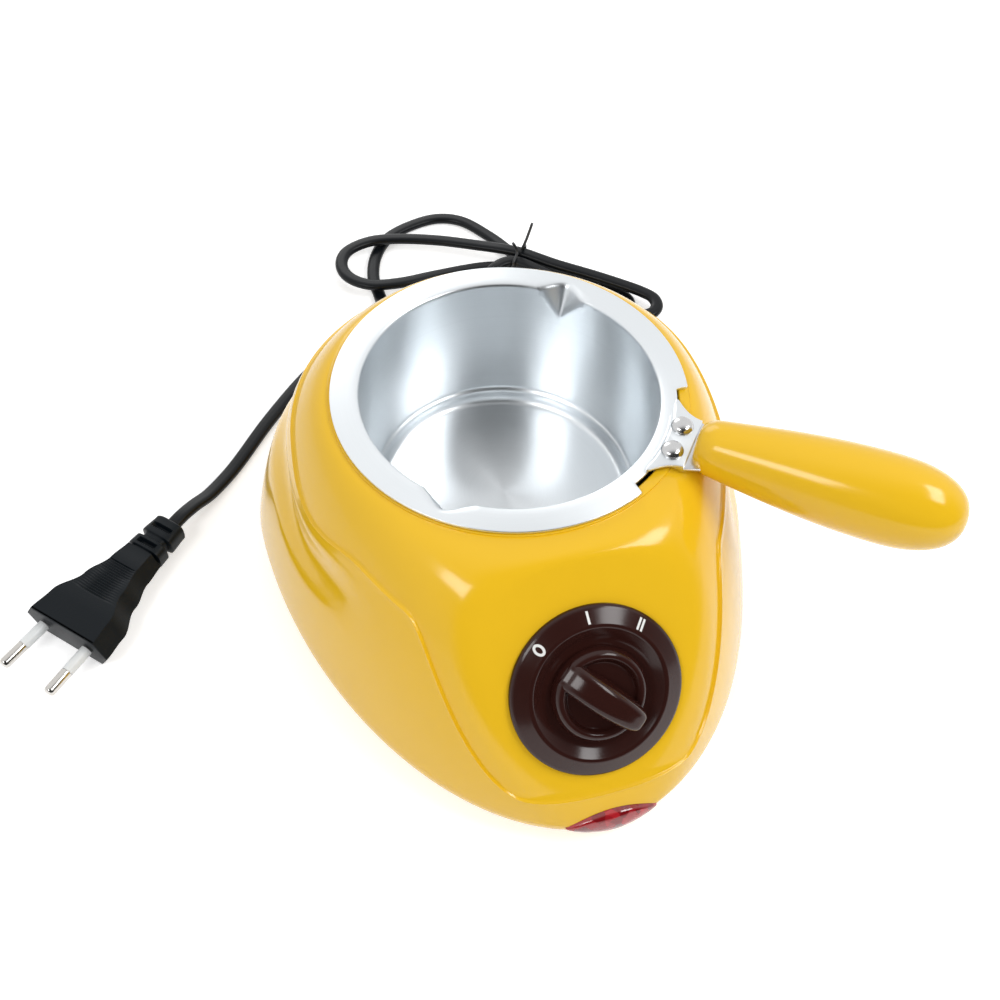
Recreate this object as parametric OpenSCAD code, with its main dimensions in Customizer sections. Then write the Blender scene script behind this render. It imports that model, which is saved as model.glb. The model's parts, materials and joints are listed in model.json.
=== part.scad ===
/* [Body] */
// Half width of the body at its widest, low down
body_half_w = 84; // [80:0.5:90]
// How far the body reaches in front of the pot's axis
body_front = 118; // [112:0.5:124]
// How far the body reaches behind the pot's axis
body_rear = 81.5; // [76:0.5:90]
// How far the widest line lies behind the pot's axis
body_mid_y = 15.5; // [8:0.5:20]
// Height of the ring that the pot hangs on
ring_z = 78.7; // [74:0.1:84]
// How far the ring reaches past the pot's flange
ring_margin = 0.5; // [0.3:0.1:1.5]
// Height at which the body bulges most
bulge_z = 11.8; // [9:0.1:14]
// How far the skirt tucks back in from the bulge to the table
skirt_tuck = 6.5; // [3:0.1:8]
// Wall of the moulded body
body_wall = 2.4; // [2:0.1:3]
// Gap between the body's lower rim and the table
rim_gap = 0.8; // [0.5:0.1:1.2]
// Step between the upper body and the skirt
crease_step = 0.9; // [0.4:0.1:1.4]
// Height of the crease in front of the dial
crease_front_z = 21.5; // [20:0.1:23]
// Height of the crease at the sides
crease_side_z = 63; // [60:0.1:65]
// Depth of the hollow under the crease at the sides
waist_depth = 2.6; // [0:0.1:4]

/* [Front panel] */
// How far the dial panel leans back from upright, in degrees
panel_lean = 39.75; // [37:0.25:42]
// How far the dial's centre lies behind the body's front end
dial_back = 27.1; // [26:0.1:28]
// Height of the dial's centre on the panel
dial_z = 46.3; // [45.5:0.1:47]
// Radius that blends the panel into the body
panel_blend = 5; // [3:0.5:7]

/* [Pot] */
// Width of the pot's flange
flange_w = 9; // [8.4:0.1:9.4]
// Inner radius of the pot's mouth
mouth_r = 47; // [46:0.1:48]
// Sheet thickness of the pot
pot_sheet = 1; // [0.8:0.1:1.2]
// Depth of the pot from the top of the flange to its floor
pot_depth = 53; // [50:0.5:54]
// How far the wall draws in from the mouth to the step at the floor
pot_taper = 2; // [1:0.1:3]
// How far a pouring lip is pushed out of the wall
lip_push = 4.6; // [4:0.1:4.8]
// Half width of a pouring lip at the mouth
lip_half_w = 8.6; // [7:0.1:10]
// How far a pouring lip runs down the wall
lip_drop = 10.5; // [8:0.1:12]
// Radius of the rivet heads on the handle's tab
rivet_head_r = 3.5; // [3:0.1:3.9]
// Height of the rivet heads
rivet_head_h = 2.1; // [1.5:0.1:2.5]
// Spacing of the two rivets
rivet_pitch = 10.4; // [9:0.1:12]

/* [Handle] */
// Direction of the handle from the body's right side, in degrees
handle_turn = -38.8; // [-42:0.2:-36]
// Distance of the handle's root from the flange
handle_gap = 4.5; // [4.2:0.1:6]
// Length of the handle
handle_len = 79; // [72:0.5:86]
// Largest radius of the handle, near its free end
handle_r = 13.4; // [12:0.1:14.5]
// Radius of the handle near the pot
handle_neck_r = 9.2; // [8:0.1:10]
// Rise of the handle from the pot, in degrees
handle_rise = 2.5; // [0:0.5:5]
// Sheet thickness of the handle's bracket
bracket_sheet = 1.2; // [1:0.1:1.5]

/* [Dial and knob] */
// Outer radius of the dial ring
bezel_r = 26.2; // [25.5:0.1:27]
// Radius of the raised lip of the dial ring
bezel_lip_r = 20.4; // [19.8:0.1:21]
// Height of the raised lip over the panel
bezel_h = 4.1; // [3.5:0.1:4.5]
// Radius of the knob's skirt
knob_r = 14; // [13.4:0.1:14.3]
// Height of the knob's dome over its skirt
knob_dome_h = 3.4; // [3:0.1:4]
// Height of the knob's grip over its skirt
grip_h = 10; // [8:0.1:11]
// Width of the knob's grip
grip_w = 6.4; // [5.5:0.1:7]
// Turn between two settings, in degrees
setting_turn = 42; // [40:1:44]
// Radius of the switch shaft
shaft_r = 3; // [2.8:0.1:3.2]

/* [Pilot light] */
// Half width of the eye-shaped lens
lens_half_w = 14.3; // [13:0.1:15]
// Half height of the eye-shaped lens
lens_half_h = 6; // [5:0.1:6.5]
// Height of the lens's centre over the table
lens_z = 10.8; // [10.5:0.1:11.5]
// How far the lens stands out at its middle
lens_bulge = 3.4; // [2.5:0.1:4]

/* [Heater] */
// Gap between the pot's mouth and the heater well
well_gap = 2.5; // [2:0.1:3]
// Sheet thickness of the heater well
well_sheet = 0.8; // [0.6:0.1:1]
// Radius of the heating plate
plate_r = 40; // [36:0.5:42]
// Thickness of the heating plate
plate_t = 3.6; // [3:0.1:4.2]
// Gap between the heating plate and the pot
plate_gap = 0.3; // [0.2:0.1:0.5]

/* [Base] */
// Thickness of the base plate
base_t = 2.2; // [1.8:0.1:2.6]
// Shank radius of the base screws
screw_r = 1.5; // [1.3:0.1:1.7]

/* [Cord and plug] */
// Width of the flat twin cord
cord_w = 5.4; // [5:0.1:5.8]
// Thickness of the flat twin cord
cord_t = 3.4; // [3:0.1:3.8]
// Width of the plug's face
plug_w = 35.3; // [35:0.1:35.6]
// Thickness of the plug
plug_t = 13.7; // [13.4:0.1:14]
// Length of the plug's body without its ribbed tail
plug_len = 38; // [36:0.5:40]
// Length of the plug's ribbed tail
tail_len = 15.5; // [14:0.5:17]
// Length of the plug's pins
pin_len = 19; // [18.5:0.1:19.5]
// Length of the sleeves on the pins
sleeve_len = 10; // [9:0.1:11]
// Radius of the pins
pin_r = 2; // [1.95:0.01:2.05]

/* [Hidden] */
$fn = 64;

// Overrun of every cut
over = 1;
// Close fit round a pin, a screw or a shaft
snug = 0.05;
// Clearance between two pieces of the fixed body
fit = 0.15;
// Clearance where curved or moving faces meet
gap = 0.3;

// Rounds that share the pot's axis
flange_r = mouth_r + flange_w;
ring_r = flange_r + ring_margin;
pot_low_r = mouth_r - pot_taper;
well_r = mouth_r + well_gap;
handle_root = flange_r + handle_gap;

// The pot hangs from its flange on the body's ring
flange_top = ring_z + gap + pot_sheet;
flange_low = ring_z + gap;
pot_floor = flange_top - pot_depth;
hole_r = mouth_r + lip_push + pot_sheet + gap;

// Body surface
// Fullness of the plan: 2 is an ellipse, less is more pointed
front_full_share = 1.89;
rear_full_share = 2;
// Fullness of the side profile, at the sides and in front
side_round_share = 1.72;
front_round_share = 2.4;
height_round_share = 1.17;
round_turn = [20, 40];
crease_turn = [13, 39];
dip_turn = [75, 22];
dip_depth = 4;
rear_turn = [85, 30];
rear_rise = 5;
waist_turn = [45, 25];
waist_drop = 13;
waist_half_h = 11;
waist_inside_share = 0.9;
panel_limit_share = 0.05;
AZ = 80;
UP_ROWS = 13;
LOW_ROWS = 11;
TUCK_ROWS = 4;
IN_ROWS = 9;
shell_az = [for (i = [0:AZ - 1]) -90 + 360 * i / AZ];
lip_wall = 2;
lip_depth = 15;
ring_drop = 0.5;
top_z = ring_z - ring_drop;
inner_top = top_z - body_wall;

function ease(t) = let (c = min(max(t, 0), 1)) c * c * (3 - 2 * c);
function hump(t) = abs(t) < 1 ? pow(cos(90 * t), 2) : 0;
function smaller(a, b, k) = let (h = max(k - abs(a - b), 0) / k) min(a, b) - h * h * k / 4;
function from_front(a) = abs((a + 270) % 360 - 180);

// Plan outline at the bulge: two half ellipses of their own fullness, drawn in by cut
function in_plan(x, y, cut) =
    let (
        d = y - body_mid_y,
        n = d < 0 ? front_full_share : rear_full_share,
        l = d < 0 ? body_front + body_mid_y : body_rear - body_mid_y
    )
    pow(abs(x) / (body_half_w - cut), n) + pow(abs(d) / (l - cut), n) < 1;
function reach(a, cut, lo, hi, n) =
    let (m = (lo + hi) / 2)
    n == 0 ? m :
    in_plan(m * cos(a), m * sin(a), cut) ? reach(a, cut, m, hi, n - 1) : reach(a, cut, lo, m, n - 1);
function plan_r(a, cut) = reach(a, cut, 0, 2 * body_front, 18);

// The dial panel is a plane that leans back
dial_y = body_front - dial_back;
panel_d = cos(panel_lean) * dial_y + sin(panel_lean) * dial_z;
function panel_reach(a, z, cut) =
    let (s = -sin(a))
    s < panel_limit_share ? 4 * body_front : (panel_d - cut - sin(panel_lean) * z) / (cos(panel_lean) * s);

// Round side of the body, below ring height
function side_reach(a, rb, z, cut) =
    let (
        t = top_z - cut,
        p = side_round_share
            + (front_round_share - side_round_share) * (1 - ease((from_front(a) - round_turn[0]) / round_turn[1])),
        u = min(max((z - bulge_z) / (t - bulge_z), 0), 1),
        r0 = ring_r - cut
    )
    z < bulge_z ? rb - skirt_tuck * pow(1 - z / bulge_z, 2) :
    r0 + (rb - r0) * pow(1 - pow(u, height_round_share), 1 / p);
function body_reach(a, rb, z, cut) =
    smaller(side_reach(a, rb, z, cut), panel_reach(a, z, cut), panel_blend);

// Height of the crease, low in front and high at the sides
function crease_z(a) =
    let (t = from_front(a))
    crease_front_z
        + (crease_side_z - crease_front_z) * ease((t - crease_turn[0]) / (crease_turn[1] - crease_turn[0]))
        - dip_depth * hump((t - dip_turn[0]) / dip_turn[1])
        + rear_rise * ease((t - rear_turn[0]) / rear_turn[1]);
function waist(a, z) =
    waist_depth * ease((from_front(a) - waist_turn[0]) / waist_turn[1])
        * hump((z - crease_z(a) + waist_drop) / waist_half_h);

// Skirt below the crease: it stands out by the step there and joins the bulge
function skirt_reach(a, rb, z) =
    let (
        zc = crease_z(a),
        lift = side_reach(a, rb, zc, 0) - body_reach(a, rb, zc, 0) - crease_step,
        k = max((z - bulge_z) / (zc - bulge_z), 0)
    )
    side_reach(a, rb, z, 0) - lift * k - waist(a, z);
function skin_reach(a, rb, z) = z < crease_z(a) ? skirt_reach(a, rb, z) : body_reach(a, rb, z, 0);

// Height at which the outer skin has come in to the radius r
function skin_height(a, rb, r, lo, hi, n) =
    let (m = (lo + hi) / 2)
    n == 0 ? lo :
    skin_reach(a, rb, m) > r ? skin_height(a, rb, r, m, hi, n - 1) : skin_height(a, rb, r, lo, m, n - 1);

// One closed skin: outer rows from the hole to the rim, inner rows back up to the hole
function shell_column(a) =
    let (
        rb = plan_r(a, 0),
        ri = plan_r(a, body_wall),
        zc = crease_z(a),
        zs = zc - crease_step / 2
    )
    concat(
        [
            [hole_r, ring_z - lip_depth],
            [hole_r, ring_z - lip_wall / 2],
            [hole_r + lip_wall / 2, ring_z],
            [ring_r, ring_z]
        ],
        [for (i = [0:UP_ROWS]) let (z = top_z - (top_z - zc) * (1 - cos(90 * i / UP_ROWS)))
            [body_reach(a, rb, z, 0), z]],
        [for (i = [0:LOW_ROWS]) let (z = zs - (zs - rim_gap) * i / LOW_ROWS)
            [skirt_reach(a, rb, z), z]],
        [for (i = [0:TUCK_ROWS - 1]) let (z = rim_gap + (bulge_z - rim_gap) * i / TUCK_ROWS)
            [body_reach(a, ri, z, body_wall), z]],
        [for (i = [0:IN_ROWS]) let (z = bulge_z + (inner_top - bulge_z) * sin(90 * i / IN_ROWS))
            [body_reach(a, ri, z, body_wall) - waist(a, z) * waist_inside_share, z]],
        [
            [hole_r + lip_wall, inner_top],
            [hole_r + lip_wall, ring_z - lip_depth]
        ]
    );

// A skin from rings of points that close on themselves both ways
module torus_skin(cols) {
    n = len(cols);
    m = len(cols[0]);
    polyhedron(
        points = [for (c = cols) each c],
        faces = [for (i = [0:n - 1]) for (j = [0:m - 1])
            let (
                a = i * m + j,
                b = i * m + (j + 1) % m,
                c = ((i + 1) % n) * m + (j + 1) % m,
                d = ((i + 1) % n) * m + j
            )
            each [[a, c, b], [a, d, c]]],
        convexity = 6
    );
}

// Places things on the dial panel: x to the right, y up the slope, z out of the panel
module on_panel() {
    translate([0, -dial_y, dial_z])
        rotate([90 - panel_lean, 0, 0])
            children();
}

// Places things along the handle's direction: x outwards from the pot's axis
module on_handle() {
    rotate([0, 0, handle_turn])
        children();
}

// Screw bosses and the screws that go up into them
boss_r = 2.4 * screw_r;
head_r = 1.9 * screw_r;
head_h = 1.2 * screw_r;
base_top = rim_gap + base_t;
rim_h = 3;
base_post_top = base_top + rim_h;
base_head_low = rim_gap + snug;
base_screw_share = [[-0.78, -0.068], [0.78, -0.068], [0, 0.58], [-0.405, -0.712], [0.405, -0.712]];
base_screw_places = [for (s = base_screw_share) [s[0] * body_half_w, s[1] * body_front]];
base_thread = 9;
well_rim_w = 10;
well_rim_r = well_r + well_rim_w;
well_top = ring_z - lip_depth - gap;
well_screw_r = hole_r + boss_r + fit;
well_screw_turns = [30, 150, 270];
well_thread = 7;

// Grommet place in the rear wall
exit_x = -16;
exit_z = 10;
grommet_neck_r = 4.6;
grommet_flange_r = 6;
grommet_flange_t = 1.6;
grommet_rear = plan_r(90, 0);
grommet_in = 5;
tail_run = 22;
grommet_front = grommet_rear - grommet_in;
tail_rear = grommet_rear + tail_run;

// Pilot light place
lens_y = -(body_front + lens_bulge - lens_half_h);
lens_rows = 16;
module lens_spindle(grow) {
    h = lens_half_h + grow;
    w = lens_half_w + grow;
    big = (w * w + h * h) / (2 * h);
    turn = asin(w / big);
    translate([0, lens_y, lens_z])
        rotate([0, 90, 0])
            rotate_extrude($fn = 32)
                polygon([for (i = [0:lens_rows]) let (t = turn * (2 * i / lens_rows - 1))
                    [max(big * cos(t) - big + h, 0), big * sin(t)]]);
}

// Recess in the ring for the rivet tails under the handle's tab
tab_root_w = 3.3;
tab_reach = 3.5;
rivet_in = 7.4;
tab_in = mouth_r + tab_root_w;
tab_out = flange_r + tab_reach;
rivet_at = mouth_r + rivet_in;
tail_h = 1.4;
tail_r = 2.6;
recess_floor = flange_low - tail_h - fit;

module upper_shell() {
    color("gold")
        difference() {
            union() {
                torus_skin([for (a = shell_az) [for (p = shell_column(a)) [p[0] * cos(a), p[0] * sin(a), p[1]]]]);
                for (p = base_screw_places)
                    let (
                        a = atan2(p[1], p[0]),
                        r = norm(p) + boss_r,
                        z = skin_height(a, plan_r(a, 0), r + crease_step, bulge_z, ring_z, 14)
                    )
                    translate([p[0], p[1], base_post_top])
                        cylinder(r = boss_r, h = z - base_post_top, $fn = 32);
                for (a = well_screw_turns)
                    rotate([0, 0, a])
                        translate([well_screw_r, 0, well_top])
                            cylinder(r = boss_r, h = inner_top + fit - well_top, $fn = 32);
            }
            on_panel()
                cylinder(r = neck_r + fit, h = 4 * body_wall, center = true);
            lens_spindle(fit);
            translate([exit_x, grommet_front, exit_z])
                rotate([-90, 0, 0])
                    cylinder(r = grommet_neck_r + snug, h = 4 * body_wall, $fn = 32);
            for (p = base_screw_places)
                translate([p[0], p[1], base_post_top - over])
                    cylinder(r = screw_r + snug, h = base_thread + 2 * over, $fn = 24);
            for (a = well_screw_turns)
                rotate([0, 0, a])
                    translate([well_screw_r, 0, well_top - over])
                        cylinder(r = screw_r + snug, h = well_thread + 2 * over, $fn = 24);
            on_handle()
                translate([tab_in - over, -rivet_pitch, recess_floor])
                    cube([tab_out - tab_in, 2 * rivet_pitch, body_wall * 2]);
        }
}

// Base plate: it follows the skirt's inside, with a rim, vents, posts and screw holes
plate_fit = 0.4;
foot_r = 6;
foot_sink = 1;
foot_share = [[-0.56, 0.34], [0.56, 0.34], [-0.36, -0.62], [0.36, -0.62]];
foot_places = [for (s = foot_share) [s[0] * body_half_w, s[1] * body_front]];
vent_w = 3;
vent_len = 26;
vent_from = 14;
vent_pitch = 8;
module plan_outline(cut) {
    polygon([for (a = shell_az)
        let (r = side_reach(a, plan_r(a, body_wall), rim_gap, body_wall) - plate_fit - cut)
        [r * cos(a), r * sin(a)]]);
}
pad_w = 22;
pad_l = 8;
pad_y = 58;
pad_top = exit_z - cord_t / 2;
module base_plate() {
    color("goldenrod")
        difference() {
            union() {
                translate([0, 0, rim_gap])
                    linear_extrude(base_t)
                        plan_outline(0);
                translate([0, 0, base_top])
                    linear_extrude(rim_h)
                        difference() {
                            plan_outline(body_wall);
                            plan_outline(2 * body_wall);
                        }
                for (p = base_screw_places)
                    translate([p[0], p[1], rim_gap])
                        cylinder(r = boss_r, h = base_post_top - rim_gap, $fn = 32);
                translate([exit_x - pad_w / 2, pad_y - pad_l / 2, base_top - snug])
                    cube([pad_w, pad_l, pad_top - base_top + snug]);
            }
            for (s = [-1, 1])
                for (i = [0:2])
                    translate([s * (vent_from + i * vent_pitch) - vent_w / 2, -vent_len / 2, 0])
                        cube([vent_w, vent_len, base_top + over]);
            for (p = base_screw_places)
                translate([p[0], p[1], 0]) {
                    cylinder(r = screw_r + snug, h = base_post_top + over, $fn = 24);
                    cylinder(r = head_r + fit, h = base_head_low + head_h, $fn = 24);
                }
            for (p = foot_places)
                translate([p[0], p[1], 0])
                    cylinder(r = foot_r + fit, h = rim_gap + foot_sink, $fn = 32);
            for (s = [-1, 1])
                translate([exit_x + s * clamp_screw_x, pad_y, base_top])
                    cylinder(r = screw_r + snug, h = pad_top, $fn = 24);
        }
}

// Feet
foot_edge = 0.8;
module rubber_feet() {
    color("dimgray")
        for (p = foot_places)
            translate([p[0], p[1], 0])
                rotate_extrude($fn = 32)
                    polygon([
                        [0, 0],
                        [foot_r - foot_edge, 0],
                        [foot_r, foot_edge],
                        [foot_r, rim_gap + foot_sink],
                        [0, rim_gap + foot_sink]
                    ]);
}

// A pan-head screw that points up, its head's bearing face at z = 0
slot_w = 0.8;
slot_h = 0.7;
module screw_up(length) {
    difference() {
        union() {
            cylinder(r = screw_r, h = length, $fn = 24);
            translate([0, 0, -head_h])
                cylinder(r = head_r, h = head_h, $fn = 24);
        }
        for (a = [0, 90])
            rotate([0, 0, a])
                translate([-head_r / 2, -slot_w / 2, -head_h - over])
                    cube([head_r, slot_w, slot_h + over]);
    }
}
module base_screws() {
    color("silver")
        for (p = base_screw_places)
            translate([p[0], p[1], base_head_low + head_h])
                screw_up(base_post_top + base_thread - base_head_low - head_h);
}
module well_screws() {
    color("silver")
        for (a = well_screw_turns)
            rotate([0, 0, a])
                translate([well_screw_r, 0, well_top - well_sheet])
                    screw_up(well_sheet + well_thread);
}

// Dial ring: a dished ring with a neck that goes through the panel
neck_r = 17;
neck_wall = 2;
neck_len = 5;
dish_floor = 1.8;
dish_slope = 4.2;
ring_edge = 1.2;
ring_round = 0.6;
lip_round = 0.8;
lip_sink = 0.3;
collar_r = 5;
ear_at = 12.8;
ear_r = 2.5;
bracket_t = 1;
module dial_bezel() {
    color("saddlebrown")
        on_panel()
            difference() {
                union() {
                    rotate_extrude()
                        polygon([
                            [collar_r + fit, 0],
                            [neck_r - neck_wall, 0],
                            [neck_r - neck_wall, -neck_len],
                            [neck_r, -neck_len],
                            [neck_r, snug],
                            [bezel_r, snug],
                            [bezel_r, ring_edge],
                            [bezel_r - ring_round, ring_edge + ring_round],
                            [bezel_lip_r + lip_round, bezel_h - lip_sink],
                            [bezel_lip_r, bezel_h],
                            [bezel_lip_r - lip_round, bezel_h - lip_sink],
                            [bezel_lip_r - dish_slope, dish_floor],
                            [collar_r + fit, dish_floor]
                        ]);
                    for (s = [-1, 1])
                        translate([s * ear_at, 0, -neck_len])
                            cylinder(r = ear_r, h = neck_len + snug, $fn = 24);
                }
                for (s = [-1, 1])
                    translate([s * ear_at, 0, -neck_len - over])
                        cylinder(r = switch_screw_r + snug, h = neck_len + over - snug, $fn = 24);
            }
}

// Rotary switch behind the dial ring, on its bracket
switch_screw_r = 1.2;
switch_screw_head_r = 2.2;
switch_screw_head_h = 1.3;
switch_w = 22;
switch_deep = 14;
collar_len = 5;
nut_r = 7.2;
nut_t = 2;
switch_top = -neck_len - bracket_t;
shaft_low = 6;
module switch_bracket() {
    color("lightsteelblue")
        on_panel()
            translate([0, 0, switch_top])
                difference() {
                    cylinder(r = neck_r, h = bracket_t);
                    translate([0, 0, -over])
                        cylinder(r = collar_r + snug, h = bracket_t + 2 * over);
                    for (s = [-1, 1])
                        translate([s * ear_at, 0, -over])
                            cylinder(r = switch_screw_r + snug, h = bracket_t + 2 * over, $fn = 24);
                }
}
module switch_body() {
    color("ivory")
        on_panel()
            translate([0, 0, switch_top])
                difference() {
                    union() {
                        translate([-switch_w / 2, -switch_w / 2, -switch_deep])
                            cube([switch_w, switch_w, switch_deep]);
                        cylinder(r = collar_r, h = collar_len);
                    }
                    translate([0, 0, -shaft_low - snug])
                        cylinder(r = shaft_r + snug, h = shaft_low + collar_len + over + snug);
                    for (s = [-1, 1])
                        translate([s * ear_at, 0, -switch_screw_head_h - snug])
                            cylinder(r = switch_screw_head_r + fit, h = 2 * switch_screw_head_h, $fn = 24);
                }
}
module switch_nut() {
    color("silver")
        on_panel()
            translate([0, 0, -neck_len])
                difference() {
                    cylinder(r = nut_r, h = nut_t, $fn = 6);
                    translate([0, 0, -over])
                        cylinder(r = collar_r + snug, h = nut_t + 2 * over);
                }
}
module switch_screws() {
    color("silver")
        on_panel()
            for (s = [-1, 1])
                translate([s * ear_at, 0, switch_top]) {
                    cylinder(r = switch_screw_r, h = neck_len - fit, $fn = 24);
                    translate([0, 0, -switch_screw_head_h])
                        cylinder(r = switch_screw_head_r, h = switch_screw_head_h, $fn = 24);
                }
}
blade_w = 4.8;
blade_t = 0.8;
blade_len = 7;
blade_x = 6;
module switch_terminals() {
    color("goldenrod")
        on_panel()
            for (x = [-blade_x, 0, blade_x])
                translate([x - blade_t / 2, -blade_w / 2, switch_top - switch_deep - blade_len])
                    cube([blade_t, blade_w, blade_len]);
}

// Pilot light: eye-shaped lens, lamp and resistor in line behind it
lens_block_w = 16;
lens_block_h = 8;
lens_block_deep = 9;
lamp_r = 2.15;
lamp_len = 9;
lamp_front = lens_y + lens_half_h / 3;
block_in_share = 0.72;
block_front = lens_y + block_in_share * lens_half_h;
block_rear = lens_y + lens_block_deep;
resistor_r = 1.4;
resistor_len = 7;
module indicator_lens() {
    color([0.7, 0.05, 0.05, 0.6])
        difference() {
            union() {
                lens_spindle(0);
                translate([-lens_block_w / 2, block_front, lens_z - lens_block_h / 2])
                    cube([lens_block_w, block_rear - block_front, lens_block_h]);
            }
            translate([0, lamp_front, lens_z])
                rotate([-90, 0, 0])
                    cylinder(r = lamp_r + snug, h = lens_block_deep, $fn = 24);
        }
}
module neon_lamp() {
    color("orange")
        translate([0, lamp_front, lens_z])
            rotate([-90, 0, 0])
                cylinder(r = lamp_r, h = lamp_len, $fn = 24);
}
module lamp_resistor() {
    color("tan")
        translate([0, lamp_front + lamp_len, lens_z])
            rotate([-90, 0, 0])
                cylinder(r = resistor_r, h = resistor_len, $fn = 24);
}

// Heater stack, from the pot's floor downwards
plate_top = pot_floor - pot_sheet - plate_gap;
plate_low = plate_top - plate_t;
well_low = plate_low - well_sheet;
mica_t = 1.6;
mica_r = 34;
mica_low = well_low - mica_t;
clamp_t = 1;
clamp_low = mica_low - clamp_t;
stud_r = 2;
stud_nut_r = 4;
stud_nut_t = 3;
stud_spare = 1.2;
stud_low = clamp_low - stud_nut_t - stud_spare;
plate_edge = 0.8;
well_bend = 3;
module heater_well() {
    color("gainsboro")
        difference() {
            rotate_extrude()
                polygon([
                    [stud_r + fit, well_low],
                    [well_r - well_bend, well_low],
                    [well_r + well_sheet, well_low + well_bend],
                    [well_r + well_sheet, well_top - well_sheet],
                    [well_rim_r, well_top - well_sheet],
                    [well_rim_r, well_top],
                    [well_r, well_top],
                    [well_r, well_low + well_bend],
                    [well_r - well_bend, plate_low],
                    [stud_r + fit, plate_low]
                ]);
            for (a = well_screw_turns)
                rotate([0, 0, a])
                    translate([well_screw_r, 0, well_top - well_sheet - over])
                        cylinder(r = screw_r + snug, h = well_sheet + 2 * over, $fn = 24);
        }
}
module heating_plate() {
    color("lightgray")
        rotate_extrude()
            polygon([
                [0, stud_low],
                [stud_r, stud_low],
                [stud_r, plate_low],
                [plate_r, plate_low],
                [plate_r, plate_top - plate_edge],
                [plate_r - plate_edge, plate_top],
                [0, plate_top]
            ]);
}
module mica_heater() {
    color("burlywood")
        translate([0, 0, mica_low])
            difference() {
                cylinder(r = mica_r, h = mica_t);
                translate([0, 0, -over])
                    cylinder(r = stud_r + fit, h = mica_t + 2 * over, $fn = 24);
            }
}
cutout_x = 18;
cutout_r = 6;
cutout_t = 5;
ear_w = 6;
ear_half = 11;
ear_t = 1.2;
ear_hole_y = 8.5;
rivet_small_r = 1.1;
rivet_small_head_r = 1.9;
rivet_small_head_h = 0.9;
module clamp_plate() {
    color("silver")
        translate([0, 0, clamp_low])
            difference() {
                cylinder(r = mica_r, h = clamp_t);
                translate([0, 0, -over])
                    cylinder(r = stud_r + fit, h = clamp_t + 2 * over, $fn = 24);
                for (s = [-1, 1])
                    translate([cutout_x, s * ear_hole_y, -over])
                        cylinder(r = rivet_small_r + snug, h = clamp_t + 2 * over, $fn = 24);
            }
}
module clamp_nut() {
    color("silver")
        translate([0, 0, clamp_low - stud_nut_t])
            difference() {
                cylinder(r = stud_nut_r, h = stud_nut_t, $fn = 6);
                translate([0, 0, -over])
                    cylinder(r = stud_r + snug, h = stud_nut_t + 2 * over, $fn = 64);
            }
}
module thermal_cutout() {
    color("ivory")
        translate([cutout_x, 0, clamp_low])
            difference() {
                union() {
                    translate([0, 0, -cutout_t])
                        cylinder(r = cutout_r, h = cutout_t);
                    translate([-ear_w / 2, -ear_half, -ear_t])
                        cube([ear_w, 2 * ear_half, ear_t]);
                }
                for (s = [-1, 1])
                    translate([0, s * ear_hole_y, -ear_t - over])
                        cylinder(r = rivet_small_r + snug, h = ear_t + 2 * over, $fn = 24);
            }
}
module cutout_rivets() {
    color("silver")
        for (s = [-1, 1])
            translate([cutout_x, s * ear_hole_y, clamp_low - ear_t]) {
                cylinder(r = rivet_small_r, h = ear_t + clamp_t, $fn = 24);
                translate([0, 0, -rivet_small_head_h])
                    cylinder(r = rivet_small_head_r, h = rivet_small_head_h, $fn = 24);
            }
}

// Terminal block and cord clamp on the base plate
block_w = 24;
block_l = 14;
block_y = 40;
block_h = 9;
block_hole_r = 1.7;
block_holes = [-8, 0, 8];
block_hole_deep = 5;
module terminal_block() {
    color("whitesmoke")
        difference() {
            translate([exit_x - block_w / 2, block_y - block_l / 2, base_top])
                cube([block_w, block_l, block_h]);
            for (x = block_holes)
                translate([exit_x + x, block_y, base_top + block_h - block_hole_deep])
                    cylinder(r = block_hole_r, h = block_hole_deep + over, $fn = 24);
        }
}
clamp_screw_x = 7.5;
clamp_h = 5.4;
clamp_screw_len = 9;
module cord_clamp() {
    color("whitesmoke")
        difference() {
            translate([exit_x - pad_w / 2, pad_y - pad_l / 2, pad_top])
                cube([pad_w, pad_l, clamp_h]);
            translate([exit_x - cord_w / 2 - snug, pad_y - pad_l, pad_top - over])
                cube([cord_w + 2 * snug, 2 * pad_l, cord_t + over + snug]);
            for (s = [-1, 1])
                translate([exit_x + s * clamp_screw_x, pad_y, pad_top - over])
                    cylinder(r = screw_r + snug, h = clamp_h + 2 * over, $fn = 24);
        }
}
module clamp_screws() {
    color("silver")
        for (s = [-1, 1])
            translate([exit_x + s * clamp_screw_x, pad_y, pad_top + clamp_h])
                rotate([180, 0, 0])
                    screw_up(clamp_screw_len);
}

// Grommet with a ribbed tail, moulded on the cord
tail_r0 = 4.4;
tail_r1 = 3.4;
tail_ribs = 5;
rib_sink = 0.6;
function tail_outline(r0, r1, x0, x1, n) =
    let (step = (x1 - x0) / (2 * n))
    [for (i = [0:2 * n - 1]) for (e = [0, 1])
        let (k = (i + e) / (2 * n)) [r0 + (r1 - r0) * k - (i % 2) * rib_sink, x0 + step * (i + e)]];
module cord_grommet() {
    color("black")
        translate([exit_x, 0, exit_z])
            rotate([-90, 0, 0])
                rotate_extrude($fn = 32)
                    polygon(concat(
                        [
                            [0, grommet_front],
                            [grommet_neck_r, grommet_front],
                            [grommet_neck_r, grommet_rear + snug],
                            [grommet_flange_r, grommet_rear + snug],
                            [grommet_flange_r, grommet_rear + grommet_flange_t]
                        ],
                        tail_outline(tail_r0, tail_r1, grommet_rear + grommet_flange_t, tail_rear, tail_ribs),
                        [[0, tail_rear]]
                    ));
}

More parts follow.
